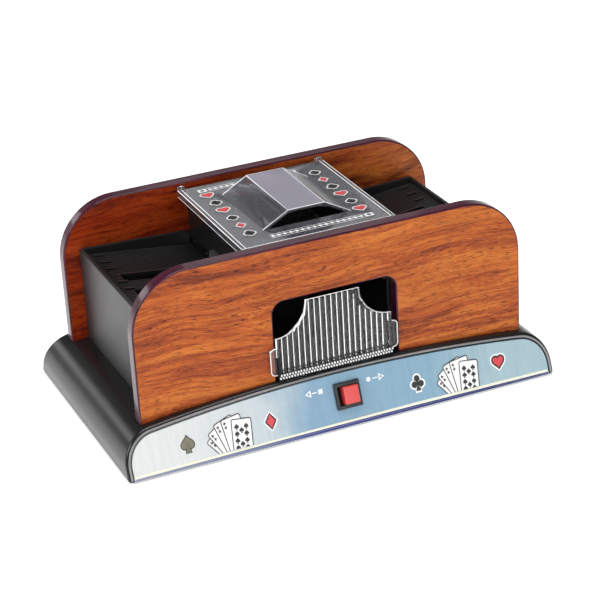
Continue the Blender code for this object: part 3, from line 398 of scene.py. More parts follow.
def wrap():
    """A cell's printed sleeve: two plain bands with a metal sheen."""
    made = Material(Metallic=0.45, Coat_Weight=0.5, Coat_Roughness=0.15)
    band = made.math("COMPARE", made.along(), 12 * MM, 9 * MM)
    strokes = made.grain((60, 900, 900), 3, 0.6)
    body = made.ramp(strokes, (0.35, (0.05, 0.14, 0.26)), (0.70, (0.08, 0.20, 0.34)))
    return made.finish(made.mix(band, body, (0.62, 0.36, 0.10)), strokes, 0.15, 0.22)


def floor_finish():
    """A pale matt table top with very faint mottling."""
    made = Material(Specular_IOR_Level=0.25, Emission_Color=(1.0, 1.0, 1.0), Emission_Strength=0.50)
    mottle = made.noise(9, 3, 0.5)
    return made.finish(made.ramp(mottle, (0.3, 0.90), (0.7, 0.93)), mottle, 0.2, 0.55)


BLACK = (0.008, 0.008, 0.009)
CLEAR_TINT = (0.96, 0.97, 0.98)
MATERIALS = {
    "satin_black": plastic(BLACK, 0.26, 1400, 0.04, 1.25, Specular_IOR_Level=0.36),
    "matte_black": plastic((0.011, 0.011, 0.012), 0.40, 1100, 0.12, Specular_IOR_Level=0.57),
    "foil": foil(),
    "laminate": laminate(),
    "clear": clear(CLEAR_TINT, 0.02, index=1.40),
    "tinted_clear": clear((0.76, 0.76, 0.83), 0.04, through=0.95),
    "red": plastic((0.60, 0.045, 0.042), 0.30, 1200, 0.05, 1.15, Coat_Weight=0.4),
    "grey": plastic((0.12, 0.12, 0.13), 0.45),
    "white": plastic((0.74, 0.72, 0.66), 0.38, 1200, 0.06, 1.08, Subsurface_Weight=0.05),
    "rubber": rubber((0.016, 0.016, 0.017)),
    "steel": metal((0.60, 0.60, 0.62), 0.30, (1, 0.05, 1)),
    "brass": metal((0.78, 0.56, 0.24), 0.28, (1, 0.1, 1)),
    "bronze": metal((0.52, 0.34, 0.17), 0.42, (1, 1, 1), 900),
    "cell": wrap(),
    "lead": rubber((0.42, 0.015, 0.012), 0.45),
    "edge_band": edge_band(),
    # The rear board's laminate: its darker, redder left end is painted shade, and its heavy smoke is partly
    # wood figure and partly painted shade.
    "rear_laminate_painted_shade": laminate((0.68, 0.28, 0.22), (0.96, 0.84, 0.78), 0.9),
    # The panel bead's light grey is a painted highlight along the panel's rim.
    "bead_painted_highlight_grey": plastic((0.17, 0.17, 0.175), 0.25, 900, 0.05, Coat_Weight=0.4, Coat_Roughness=0.1),
    # The whitish edge finish is a painted highlight along clear plastic edges.
    "clear_edge_highlight": clear((0.98, 0.98, 0.99), 0.20, through=0.10),
    # The milky ridge finish paints the reflection on the cover ridge's flat top.
    "ridge_painted_reflection": clear((0.36, 0.34, 0.42), 0.08, through=0.45),
    "white_ink": ink((0.88, 0.89, 0.88)),
    "black_ink": ink((0.012, 0.012, 0.014)),
    "red_ink": ink((0.66, 0.045, 0.060)),
    "olive_ink": ink((0.17, 0.155, 0.105)),
    "blue_ink": stripe_ink(),
    "pale_blue_ink": ink((0.20, 0.22, 0.46)),
    "cream_ink": ink((0.80, 0.81, 0.66)),
    "floor": floor_finish(),
}
for finish_name, finish in MATERIALS.items():
    finish.name = finish_name


# ---- shape helpers

def mesh_from(bm, turn_outwards=True):
    """bm as a mesh; its faces are first turned outwards unless they already are."""
    if turn_outwards:
        bmesh.ops.recalc_face_normals(bm, faces=bm.faces)
        if bm.calc_volume(signed=True) < 0:
            bmesh.ops.reverse_faces(bm, faces=bm.faces)
    mesh = bpy.data.meshes.new("shape")
    bm.to_mesh(mesh)
    bm.free()
    return mesh


def link(name, data):
    obj = bpy.data.objects.new(name, data)
    bpy.context.scene.collection.objects.link(obj)
    return obj


def arc(centre, radius, start, end, steps=12):
    """Points on an arc, angles in radians, from start to end inclusive."""
    radius_x, radius_z = radius if isinstance(radius, tuple) else (radius, radius)
    angles = [start + (end - start) * i / steps for i in range(steps + 1)]
    return [(centre[0] + radius_x * math.cos(a), centre[1] + radius_z * math.sin(a)) for a in angles]


def circle(centre, radius, steps=24):
    return arc(centre, radius, 0, 2 * math.pi, steps)[:-1]


def rectangle(x, y, half_x, half_y):
    left, right, low, high = x - half_x, x + half_x, y - half_y, y + half_y
    return [(left, low), (right, low), (right, high), (left, high)]


def curve_mesh(lines, closed, **settings):
    """Lines of 2-D or 3-D points as one curve, turned into a bmesh with its caps joined on."""
    curve = configured(bpy.data.curves.new("lines", "CURVE"), **settings)
    for line in lines:
        spline = curve.splines.new("POLY")
        spline.points.add(len(line) - 1)
        for point, place in zip(spline.points, line):
            point.co = Vector(place).to_4d()
        spline.use_cyclic_u = closed
    holder = link("curve", curve)
    mesh = bpy.data.meshes.new_from_object(holder.evaluated_get(bpy.context.evaluated_depsgraph_get()))
    bm = bmesh.new()
    bm.from_mesh(mesh)
    bpy.data.meshes.remove(mesh)
    bpy.data.objects.remove(holder)
    bmesh.ops.remove_doubles(bm, verts=bm.verts, dist=WELD)
    return bm


def moved(bm, *vector):
    bmesh.ops.translate(bm, verts=bm.verts, vec=vector)
    return bm


def filled_outline(loops, thickness, start=0.0):
    """A flat piece in XY, thickness along Z from start: the first loop is its edge, the others are holes."""
    bm = curve_mesh(loops, True, dimensions="2D", fill_mode="BOTH", extrude=thickness / 2)
    bmesh.ops.dissolve_limit(bm, angle_limit=math.radians(0.5), verts=bm.verts, edges=bm.edges)
    return moved(bm, 0, 0, start + thickness / 2)


def prism_y(loops, y_start, y_end):
    """An outline in XZ drawn along Y."""
    bm = filled_outline(loops, y_end - y_start)
    bm.transform(Matrix.Translation((0, y_end, 0)) @ Matrix.Rotation(math.pi / 2, 4, "X"))
    return bm


def slab(outline, z_start, z_end):
    """An outline in XY drawn along Z."""
    return filled_outline([outline], z_end - z_start, z_start)


def box(x, y, z):
    bm = bmesh.new()
    bmesh.ops.create_cube(bm, size=1)
    sizes = [high - low for low, high in (x, y, z)]
    middles = [(high + low) / 2 for low, high in (x, y, z)]
    bm.transform(Matrix.Translation(middles) @ Matrix.Diagonal((*sizes, 1)))
    return bm


def merged(parts):
    """One mesh that holds several separate shapes."""
    bm = bmesh.new()
    for part in parts:
        mesh = mesh_from(part)
        bm.from_mesh(mesh)
        bpy.data.meshes.remove(mesh)
    return bm


def rounded(bm, radius, segments=3, edges=None):
    bmesh.ops.bevel(bm, geom=edges or bm.edges[:], offset=radius, segments=segments, profile=0.5,
                    affect="EDGES")
    return bm


def centred(half_x, half_y, z):
    """A box round the Z axis."""
    return box((-half_x, half_x), (-half_y, half_y), z)


def boolean(obj, operation, bm):
    tool = link("tool", mesh_from(bm))
    tool.hide_render = True
    configured(obj.modifiers.new("boolean", "BOOLEAN"), operation=operation, solver="EXACT", object=tool)


def bevel(obj, width, segments, degrees=40, material=-1):
    configured(obj.modifiers.new("rounded_edges", "BEVEL"), width=width, segments=segments,
               limit_method="ANGLE", angle_limit=math.radians(degrees), material=material)


def bake_modifiers(obj, sharp_degrees=32):
    """Applies what is on obj, then shades it with true round edges and flat faces."""
    evaluated = obj.evaluated_get(bpy.context.evaluated_depsgraph_get())
    mesh = bpy.data.meshes.new_from_object(evaluated)
    tools = [m.object for m in obj.modifiers if m.type == "BOOLEAN"]
    obj.modifiers.clear()
    obj.data = mesh
    for tool in tools:
        bpy.data.objects.remove(tool)
    mesh.shade_smooth()
    mesh.set_sharp_from_angle(angle=math.radians(sharp_degrees))
    configured(obj.modifiers.new("flat_faces", "WEIGHTED_NORMAL"), keep_sharp=True)


def coat(obj, *finishes):
    for name in finishes:
        obj.data.materials.append(MATERIALS[name])


def dress(obj, body, slot, *stands_for):
    """Gives a piece its body and hides the CAD nodes it stands for; slot is not used."""
    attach(obj, body)
    if stands_for:
        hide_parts(*stands_for)
    return obj


def solid_piece(name, bm, body, slot, *stands_for, edge=0.0, segments=2, steps=(), finishes=None):
    """A hard piece: bm with rounded edges, then the (operation, shape) steps in their order."""
    obj = link(name, mesh_from(bm))
    coat(obj, *(finishes or [slot]))
    if edge:
        bevel(obj, edge, segments)
    for operation, tool in steps:
        boolean(obj, operation, tool)
    bake_modifiers(obj)
    return dress(obj, body, slot, *stands_for)


def mirrored(points, side):
    return [(side * x, z) for x, z in points]


# ---- base

def arch_height(x):
    return ARCH_TOP - ARCH_RADIUS + math.sqrt(ARCH_RADIUS ** 2 - x ** 2)


def base_outline(inset, bottom):
    arch_centre = ARCH_TOP - ARCH_RADIUS
    corner_x = BASE_LENGTH / 2 - END_RADIUS
    corner_z = arch_centre + math.sqrt((ARCH_RADIUS - END_RADIUS) ** 2 - corner_x ** 2)
    meet = math.atan2(corner_z - arch_centre, corner_x)
    right = arc((corner_x, corner_z), END_RADIUS - inset, 0, meet, 20)
    top = arc((0, arch_centre), ARCH_RADIUS - inset, meet, math.pi - meet, 40)[1:-1]
    left = arc((-corner_x, corner_z), END_RADIUS - inset, math.pi - meet, math.pi, 20)
    end_x = BASE_LENGTH / 2 - inset
    return [(end_x, bottom), *right, *top, *left, (-end_x, bottom)]


def face_y(z):
    return -BASE_DEPTH / 2 + FACE_LEAN * z


LEAN = math.atan(FACE_LEAN)


def leaning_prism(inset, bottom, front, back, back_way=-1):
    """The base's outline drawn from its front face, moved in by front, to its back, moved in by back.

    The back is the front face mirrored, or with back_way 1 the front face itself.
    """
    bm = prism_y([base_outline(inset, bottom)], -1, 1)
    for vert in bm.verts:
        y = face_y(vert.co.z)
        vert.co.y = y + front if vert.co.y < 0 else back_way * (y + back)
    return bm


def face_sheet(inset, bottom, front, back):
    """A sheet along the front face, from front to back behind it."""
    return leaning_prism(inset, bottom, front, back, 1)


def at_switch(bm):
    """Moves a shape from its own frame, Z outwards and Y up the slope, to the switch's place."""
    x, z = SWITCH_CENTRE
    bm.transform(Matrix.Translation((x, face_y(z), z)) @ Matrix.Rotation(math.pi / 2 - LEAN, 4, "X"))
    return bm


def switch_hole():
    half_x, half_y = (size / 2 + GAP for size in SWITCH_OPENING)
    return at_switch(centred(half_x, half_y, (-THROUGH, THROUGH)))


def make_base():
    bosses, holes = [], []
    for low, high in SCREW_BOXES:
        x, y = (low[0] + high[0]) / 2, (low[1] + high[1]) / 2
        boss_top = arch_height(x) - BASE_WALL / 2
        bosses.append(slab(circle((x, y), BOSS_RADIUS), PLATE_TOP + GAP, boss_top))
        holes.append(slab(circle((x, y), SCREW_RADIUS + FIT), 0, high[2] + GAP))
    for side in SIDES.values():
        holes.append(slab(circle((side * LEAD_HOLE[0], 0), LEAD_HOLE[1]), ARCH_TOP / 2, FAR))
    thickness = BOARD_THICKNESS / 2 + GAP
    centre = BOARD_OUTER_Y - BOARD_THICKNESS / 2
    reach = BOARD_LENGTH / 2 + GAP
    slots = [box((-reach, reach), (y - thickness, y + thickness), (BOARD_BOTTOM - GAP, FAR))
             for y in (-centre, centre)]
    hollow = leaning_prism(BASE_WALL, -BASE_WALL, BASE_WALL, BASE_WALL)
    pocket = face_sheet(PANEL_INSET - GAP, -THROUGH, -THROUGH, PANEL_THICKNESS + GAP)
    solid_piece("base_housing", leaning_prism(0, BASE_UNDERSIDE, 0, 0), "housing", "satin_black",
                "base_shell", edge=1.5 * MM, segments=4,
                steps=[(CUT, hollow), (JOIN, merged(bosses)), (CUT, merged(holes)),
                       (CUT, merged(slots)), (CUT, pocket), (CUT, switch_hole())])
    panel_bead()


def bead(name, routes, radius, body, slot, finish):
    """Thin round strips along routes of 3-D points."""
    strips = [curve_mesh([route], False, dimensions="3D", bevel_depth=radius, bevel_resolution=3,
                         use_fill_caps=True) for route in routes]
    mesh = mesh_from(merged(strips), turn_outwards=False)
    mesh.shade_smooth()
    mesh.set_sharp_from_angle(angle=math.radians(60))
    obj = link(name, mesh)
    coat(obj, finish)
    dress(obj, body, slot)


def panel_bead():
    radius, sink, outside = 0.55 * MM, 0.15 * MM, 1.25 * MM
    line = base_outline(PANEL_INSET - outside, PANEL_BOTTOM + radius)
    route = [(x, face_y(z) + sink, z + sink) for x, z in line]
    # Light grey on the bead is a painted highlight along the panel's rim.
    bead("panel_bead", [route], radius, "housing", "satin_black", "bead_painted_highlight_grey")


# ---- printing

class Print:
    """Thin plates of ink on a surface.  place maps (x, y, height) in the sheet to the world."""

    def __init__(self, place, clip=None):
        self.place = place
        self.clip = clip
        self.plates = {}

    def plate(self, colour, outline, layer=0, holes=()):
        """One plate from its (x, y) outline; each layer lies on the one below."""
        bm = filled_outline([outline, *holes], PLATE, layer * PLATE)
        if self.clip:
            everything = bm.verts[:] + bm.edges[:] + bm.faces[:]
            result = bmesh.ops.bisect_plane(bm, geom=everything, plane_co=(0, self.clip, 0),
                                            plane_no=(0, -1, 0), clear_outer=True)
            cut_edges = [e for e in result["geom_cut"] if isinstance(e, bmesh.types.BMEdge)]
            if cut_edges:
                bmesh.ops.holes_fill(bm, edges=cut_edges)
        self.plates.setdefault(colour, []).append(bm)

    def finish(self, name, body, slot):
        for colour, plates in self.plates.items():
            bm = merged(plates)
            for vert in bm.verts:
                vert.co = self.place(*vert.co)
            obj = link(f"{name}_{colour}", mesh_from(bm, turn_outwards=False))
            coat(obj, f"{colour}_ink")
            dress(obj, body, slot)


PLATE = 0.03 * MM


def shifted(points, x, y, scale=1.0, turn=0.0):
    c, s = math.cos(turn) * scale, math.sin(turn) * scale
    return [(x + c * px - s * py, y + s * px + c * py) for px, py in points]


def heart():
    """A heart one unit high round the origin."""
    points = []
    for step in range(40):
        t = 2 * math.pi * step / 40
        x = 16 * math.sin(t) ** 3
        y = 13 * math.cos(t) - 5 * math.cos(2 * t) - 2 * math.cos(3 * t) - math.cos(4 * t)
        points.append((x / 30, (y + 2.5) / 30))
    return points


def diamond():
    """A diamond one unit high with slightly hollow sides."""
    hollow = 0.88
    tips = [(0.36, 0), (0, 0.5), (-0.36, 0), (0, -0.5)]
    points = []
    for (x, y), (next_x, next_y) in zip(tips, tips[1:] + tips[:1]):
        points += [(x, y), ((x + next_x) / 2 * hollow, (y + next_y) / 2 * hollow)]
    return points


def stem(top, bottom, width):
    """The flared foot of a spade or club."""
    right = [(width * (0.18 + 0.82 * (i / 6) ** 2.2), top + (bottom - top) * i / 6) for i in range(7)]
    return [*[(-x, y) for x, y in right], *reversed(right)]


def suit(name):
    """The outlines that make up a suit's mark, one unit high in all."""
    if name == "heart":
        return [heart()]
    if name == "diamond":
        return [diamond()]
    if name == "spade":
        leaf = [(x * 0.79, 0.10 - y * 0.80) for x, y in heart()]
        return [leaf, stem(0.0, -0.5, 0.20)]
    lobes = [circle(centre, 0.205, 20) for centre in ((0, 0.295), (-0.25, -0.07), (0.25, -0.07))]
    return [*lobes, circle((0, 0.04), (0.09, 0.16), 20), stem(0.05, -0.5, 0.20)]


def stamp(sheet, name, x, y, size, *coats):
    """A suit's mark in coats of (colour, width of the rim it adds), the widest first."""
    for layer, (colour, rim) in enumerate(coats):
        for outline in suit(name):
            sheet.plate(colour, grown(shifted(outline, x, y, size), rim), layer)


def distance_to_segment(point, start, end):
    nearest, share = intersect_point_line(point, start, end)
    return (point - (start if share < 0 else end if share > 1 else nearest)).length


def grown(outline, width):
    """A closed outline moved outwards by width; points that would cross over in a notch are dropped."""
    if not width:
        return outline
    points = [Vector(point) for point in outline]
    count = len(points)
    area = sum(a.cross(b) for a, b in zip(points, points[1:] + points[:1]))
    way, nearly = math.copysign(width, area), 0.97 * width
    result = []
    for i in range(count):
        tangent = points[(i + 1) % count] - points[i - 1]
        place = points[i] + way * Vector((tangent.y, -tangent.x)).normalized()
        others = [(points[(i + k) % count], points[(i + k + 1) % count]) for k in range(1, count - 1)]
        if all(distance_to_segment(place, *segment) > nearly for segment in others):
            result.append(tuple(place))
    return result


CARD_WIDTH, CARD_HEIGHT = 9.8 * MM, 15.5 * MM
CARD_CORNER = 0.7 * MM
CARD_LINE = 0.50 * MM
FAN_CENTRES = (-64.8 * MM, 61.3 * MM)
FAN_Z = 8.6 * MM
FAN_RADIUS = 10.2 * MM
FAN_ANGLES = (170, 150, 121, 97, 66)
FAN_TURN = 0.45
FAN_UPRIGHT = math.radians(80)
PIP_COLUMNS = (2.3 * MM, 7.3 * MM)
PIP_ROWS = (3.2 * MM, 6.5 * MM, 9.7 * MM, 12.9 * MM)
MIDDLE_PIPS = (4.9 * MM, 11.3 * MM)
PIP_SIZE = 2.95 * MM
INDEX_MARKS = ((1.3 * MM, 1.7 * MM), (1.4 * MM, 3.7 * MM))
INDEX_SIZE = 1.6 * MM


def card_outline(margin):
    """A card hung from its top left corner, which is the origin."""
    left, right, top, bottom = -margin, CARD_WIDTH + margin, margin, -CARD_HEIGHT - margin
    r = CARD_CORNER + margin
    quarter = math.pi / 2
    return [*arc((right - r, top - r), r, quarter, 0, 4), *arc((right - r, bottom + r), r, 0, -quarter, 4),
            *arc((left + r, bottom + r), r, -quarter, -math.pi, 4),
            *arc((left + r, top - r), r, math.pi, quarter, 4)]


def card(sheet, corner, turn, layer, marks):
    """One card: a dark line, the white face on it and its marks of (suit, across, down, size)."""
    sheet.plate("black", shifted(card_outline(CARD_LINE), *corner, 1.0, turn), layer)
    sheet.plate("white", shifted(card_outline(0), *corner, 1.0, turn), layer + 1)
    for name, across, down, size in marks:
        for outline in suit(name):
            mark = shifted(outline, across, -down, size)
            sheet.plate("black", shifted(mark, *corner, 1.0, turn), layer + 2)


def fan(sheet, x, z):
    """A hand of five cards; their top corners lie on a circle and the last card shows its face."""
    index = [("club", across, down, INDEX_SIZE) for across, down in INDEX_MARKS]
    face = [("spade", across, down, PIP_SIZE) for across in PIP_COLUMNS for down in PIP_ROWS]
    face += [("spade", sum(PIP_COLUMNS) / 2, down, PIP_SIZE) for down in MIDDLE_PIPS]
    for number, degrees in enumerate(FAN_ANGLES):
        angle = math.radians(degrees)
        corner = (x + FAN_RADIUS * math.cos(angle), z + FAN_RADIUS * math.sin(angle))
        turn = FAN_TURN * (angle - FAN_UPRIGHT)
        card(sheet, corner, turn, number * 2, face if number == len(FAN_ANGLES) - 1 else index)


def panel_place(x, z, height):
    return Vector((x, face_y(z) - height * math.cos(LEAN), z + height * math.sin(LEAN)))


STRIPE_TOP = 3.1 * MM
LINE_TOP = 4.4 * MM
STRIPE_GLEAM = 2.45 * MM
GLEAM_HALF = 0.12 * MM
STRIPE_SAG = 0.7 * MM
STRIPE_MARGIN = 0.4 * MM
RED_COATS = [("white", 1.55 * MM), ("black", 0.85 * MM), ("red", 0)]

# (suit, x, z, height, coats) with x, z and height in millimetres
PANEL_SUITS = (("spade", -84.9, 12.4, 8.0, [("black", 0.45 * MM), ("olive", 0)]),
               ("diamond", -40.6, 12.9, 6.6, RED_COATS),
               ("club", 40.6, 13.1, 7.6, [("white", 0.85 * MM), ("black", 0)]),
               ("heart", 87.1, 13.1, 5.6, RED_COATS))


def stripe(top, bottom, steps=40):
    """A band along the panel's lower edge whose top and bottom bow up in the middle."""
    reach = BASE_LENGTH / 2 - PANEL_INSET - STRIPE_MARGIN
    flat = bottom < PANEL_BOTTOM + MM
    lower, upper = [], []
    for i in range(steps + 1):
        x = -reach + 2 * reach * i / steps
        sag = STRIPE_SAG * (x / reach) ** 2
        lower.append((x, bottom if flat else bottom - sag))
        upper.append((x, top - sag))
    return lower + upper[::-1]


def make_panel():
    sheet = face_sheet(PANEL_INSET, PANEL_BOTTOM, 0, PANEL_THICKNESS)
    solid_piece("foil_sheet", sheet, "housing", "foil", "front_panel", edge=0.12 * MM,
                steps=[(CUT, switch_hole())])
    ground = Print(panel_place)
    ground.plate("blue", stripe(STRIPE_TOP, PANEL_BOTTOM + FIT))
    ground.plate("pale_blue", stripe(STRIPE_GLEAM + GLEAM_HALF, STRIPE_GLEAM - GLEAM_HALF), 1)
    ground.plate("cream", stripe(LINE_TOP, STRIPE_TOP))
    for name, x, z, size, coats in PANEL_SUITS:
        stamp(ground, name, x * MM, z * MM, size * MM, *coats)
    switch_marks(ground)
    ground.finish("panel_print", "housing", "foil")
    hands = Print(panel_place, clip=LINE_TOP - FIT)
    for x in FAN_CENTRES:
        fan(hands, x, FAN_Z)
    hands.finish("panel_cards", "housing", "foil")


ARROW_LENGTH = 3.2 * MM
ARROW_HEIGHT = 3.5 * MM
DASH_LENGTH = 2.8 * MM
DASH_WIDTH = 0.48 * MM
SPOT_RADIUS = 1.15 * MM
SPOT_X = {-1: -11.9 * MM, 1: 14.6 * MM}
DASH_X = {-1: -15.2 * MM, 1: 18.3 * MM}
MARK_Z = 20.6 * MM


def switch_marks(sheet):
    """A spot, a dash and an outlined arrow on each side of the switch, in white; the left spot is square."""
    back, half = -ARROW_LENGTH * 0.4, ARROW_HEIGHT / 2
    arrow = [(ARROW_LENGTH * 0.6, 0), (back, half), (back, -half)]
    spots = {-1: rectangle(SPOT_X[-1], MARK_Z, SPOT_RADIUS, SPOT_RADIUS),
             1: circle((SPOT_X[1], MARK_Z), SPOT_RADIUS)}
    for way, dash_x in DASH_X.items():
        tip_x = dash_x + way * ARROW_LENGTH
        outer, inner = ([(tip_x + way * x * scale, MARK_Z + y * scale) for x, y in arrow]
                        for scale in (1, 0.5))
        sheet.plate("white", outer, holes=[inner])
        sheet.plate("white", rectangle(dash_x, MARK_Z, DASH_LENGTH / 2, DASH_WIDTH / 2))
        sheet.plate("white", spots[way])


# ---- boards

def board_outline(window):
    half = BOARD_LENGTH / 2
    corner_x, corner_z = half - BOARD_CORNER, BOARD_TOP - BOARD_CORNER
    outline = [(-half, BOARD_BOTTOM), *arc((-corner_x, corner_z), BOARD_CORNER, math.pi, math.pi / 2, 32),
               *arc((corner_x, corner_z), BOARD_CORNER, math.pi / 2, 0, 32), (half, BOARD_BOTTOM)]
    if window:
        left, right = WINDOW_CENTRE - WINDOW_WIDTH / 2, WINDOW_CENTRE + WINDOW_WIDTH / 2
        corner = WINDOW_TOP - WINDOW_CORNER
        outline += [(right, BOARD_BOTTOM),
                    *arc((right - WINDOW_CORNER, corner), WINDOW_CORNER, 0, math.pi / 2, 12),
                    *arc((left + WINDOW_CORNER, corner), WINDOW_CORNER, math.pi / 2, math.pi, 12),
                    (left, BOARD_BOTTOM)]
    return outline


def make_board(name, node, outer, window, face_material):
    """A laminate board: wood on its two faces and the dark band on its edge and rounded corners."""
    low, high = sorted((outer * BOARD_OUTER_Y, outer * (BOARD_OUTER_Y - BOARD_THICKNESS)))
    obj = link(name, mesh_from(prism_y([board_outline(window)], low, high)))
    coat(obj, face_material, "edge_band")
    for face in obj.data.polygons:
        face.material_index = 0 if abs(face.normal.y) > 0.9 else 1
    bevel(obj, BOARD_EDGE, 4, material=1)
    bake_modifiers(obj, 40)
    dress(obj, "housing", "laminate", node)


# ---- trays

def floor_height(x):
    return FLOOR_OUTER_Z - FLOOR_SLOPE * (TRAY_OUTER_X - TRAY_WALL - x)


def base_top_cutter():
    return leaning_prism(-GAP, -THROUGH, -THROUGH, -THROUGH)


def floor_bar(side, x_range, middle_y, half_width, height):
    """A low bar that follows a tray's sloping floor."""
    bm = box(x_range, (middle_y - half_width, middle_y + half_width), (-FLOOR_RIB_SINK, height))
    for vert in bm.verts:
        vert.co.z += floor_height(vert.co.x)
        vert.co.x *= side
    return bm


def clear_space(side, near, far, depth, drop, end):
    """The cut that leaves nothing between drop below the top of a tray's floor and the height end."""
    outline = [(near, floor_height(near) - drop), (far, floor_height(far) - drop), (far, end), (near, end)]
    return CUT, prism_y([mirrored(outline, side)], -depth, depth)


def make_tray(side_name):
    side = SIDES[side_name]
    inner, outer, half = TRAY_INNER_X, TRAY_OUTER_X, TRAY_HALF_DEPTH
    walls = [(inner, BOARD_BOTTOM), (outer, BOARD_BOTTOM), (outer, TRAY_RIM_OUTER), (inner, TRAY_RIM_INNER)]
    inside = (side, inner - TRAY_WALL, outer - TRAY_WALL, half - TRAY_WALL)
    slot_x, slot_half = sorted(side * x for x in ROLLER_SLOT), ROLLER_SLOT_WIDTH / 2
    slots = [box(slot_x, (y - slot_half, y + slot_half), ROLLER_SLOT_Z) for y in (-ROLLER_Y, ROLLER_Y)]
    low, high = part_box(f"{side_name}_roller_shaft")
    axis = ((low[0] + high[0]) / 2, (low[2] + high[2]) / 2)
    bush_hole = prism_y([circle(axis, BUSH_RADIUS + FIT)], -half - THROUGH, -half + TRAY_WALL + THROUGH)
    solid_piece(f"{side_name}_feed_tray", prism_y([mirrored(walls, side)], -half, half), "housing",
                "matte_black", f"{side_name}_tray", edge=0.7 * MM, segments=3,
                steps=[clear_space(*inside, 0, FAR), clear_space(*inside, FLOOR_THICKNESS, 0),
                       (CUT, base_top_cutter()), (CUT, merged(slots)),
                       (CUT, bush_hole)])
    solid_piece(f"{side_name}_tray_ribs", merged(tray_ribs(*inside)), "housing", "matte_black")
    rim_y = half - TRAY_WALL / 2
    solid_piece(f"{side_name}_tray_rim", merged([rim_bar(side, y) for y in (-rim_y, rim_y)]), "housing",
                "matte_black")


def tray_ribs(side, near, far, depth):
    """Fine lengthwise ribs on a tray's floor, with a short stop at the outer end of every fourth."""
    pitch, half_width = FLOOR_RIB_PITCH, FLOOR_RIB_HALF_WIDTH
    ribs = []
    count = int(2 * (depth - pitch) / pitch)
    for index in range(count + 1):
        y = (index - count / 2) * pitch
        beside_slot = abs(abs(y) - ROLLER_Y) < ROLLER_SLOT_WIDTH / 2 + half_width + FLOOR_RIB_SINK
        start = ROLLER_SLOT[1] + SLOT_MARGIN if beside_slot else near + FLOOR_RIB_ENDS[0]
        ribs.append(floor_bar(side, (start, far - FLOOR_RIB_ENDS[1]), y, half_width, FLOOR_RIB_HEIGHT))
        if index % STOP_EVERY == 1 and not beside_slot:
            reach = [far - step for step in STOP_REACH]
            ribs.append(floor_bar(side, reach, y, 2 * half_width, STOP_HEIGHT))
    return ribs


def rim_bar(side, y):
    """The narrow raised line along a tray's long wall."""
    rise = (TRAY_RIM_OUTER - TRAY_RIM_INNER) / (TRAY_OUTER_X - TRAY_INNER_X)
    end, half_width, sink, height = 1.5 * MM, 0.35 * MM, 0.3 * MM, 0.5 * MM
    bar = box((TRAY_INNER_X + end, TRAY_OUTER_X - end), (y - half_width, y + half_width), (-sink, height))
    bm = rounded(bar, 0.2 * MM, 2)
    for vert in bm.verts:
        vert.co.z += TRAY_RIM_INNER + rise * (vert.co.x - TRAY_INNER_X)
        vert.co.x *= side
    return bm


# ---- tower and cover

def make_tower():
    half_x, half_y = TOWER_HALF_WIDTH, TRAY_HALF_DEPTH
    in_x, in_y = half_x - TOWER_WALL, half_y - TOWER_WALL
    flange_low = TOWER_TOP - FLANGE_THICKNESS
    flange = rounded(centred(FLANGE_HALF_WIDTH, half_y, (flange_low, TOWER_TOP)), FLANGE_ROUND)
    rim_x, rim_y = (size / 2 for size in TOWER_OPENING)
    slot_low = floor_height(TOWER_HALF_WIDTH)
    openings = [centred(in_x, in_y, (0, flange_low)), centred(rim_x, rim_y, (TOWER_TOP - THROUGH, FAR)),
                box((-in_x, in_x), (-half_y - THROUGH, -in_y + THROUGH), (-THROUGH, WINDOW_TOP + GAP)),
                centred(half_x + THROUGH, CARD_SLOT_LENGTH / 2, (slot_low, slot_low + CARD_SLOT_HEIGHT)),
                base_top_cutter()]
    walls = centred(half_x, half_y - HAIR, (BOARD_BOTTOM, TOWER_TOP - FLANGE_ROUND))
    solid_piece("tower_housing", walls, "housing", "satin_black", "centre_tower", edge=0.6 * MM, segments=3,
                steps=[(JOIN, flange), *[(CUT, opening) for opening in openings]])
    span = (TOWER_TOP - LIP_DEPTH, flange_low + LIP_OVERLAP)
    far_x, far_y = rim_x + LIP_THICKNESS, rim_y + LIP_THICKNESS
    lip = []
    for way in (-1, 1):
        lip.append(box(sorted((way * rim_x, way * far_x)), (-far_y, far_y), span))
        lip.append(box((-rim_x, rim_x), sorted((way * rim_y, way * far_y)), span))
    solid_piece("tower_lip", merged(lip), "housing", "satin_black")


def bump_outline(inset):
    lean = math.atan2(BUMP_HEIGHT, BUMP_BASE - BUMP_RIDGE)
    ridge = BUMP_RIDGE - inset * math.tan(lean / 2)
    base = BUMP_BASE - inset / math.sin(lean)
    run = (BUMP_BASE - BUMP_RIDGE) / BUMP_HEIGHT
    foot_drop = COVER_THICKNESS * 2 if inset else COVER_THICKNESS / 2
    foot = base + foot_drop * run
    top, bottom = COVER_TOP + BUMP_HEIGHT - inset, COVER_TOP - foot_drop
    return [(BUMP_CENTRE + x, z) for x, z in ((-foot, bottom), (-ridge, top), (ridge, top), (foot, bottom))]


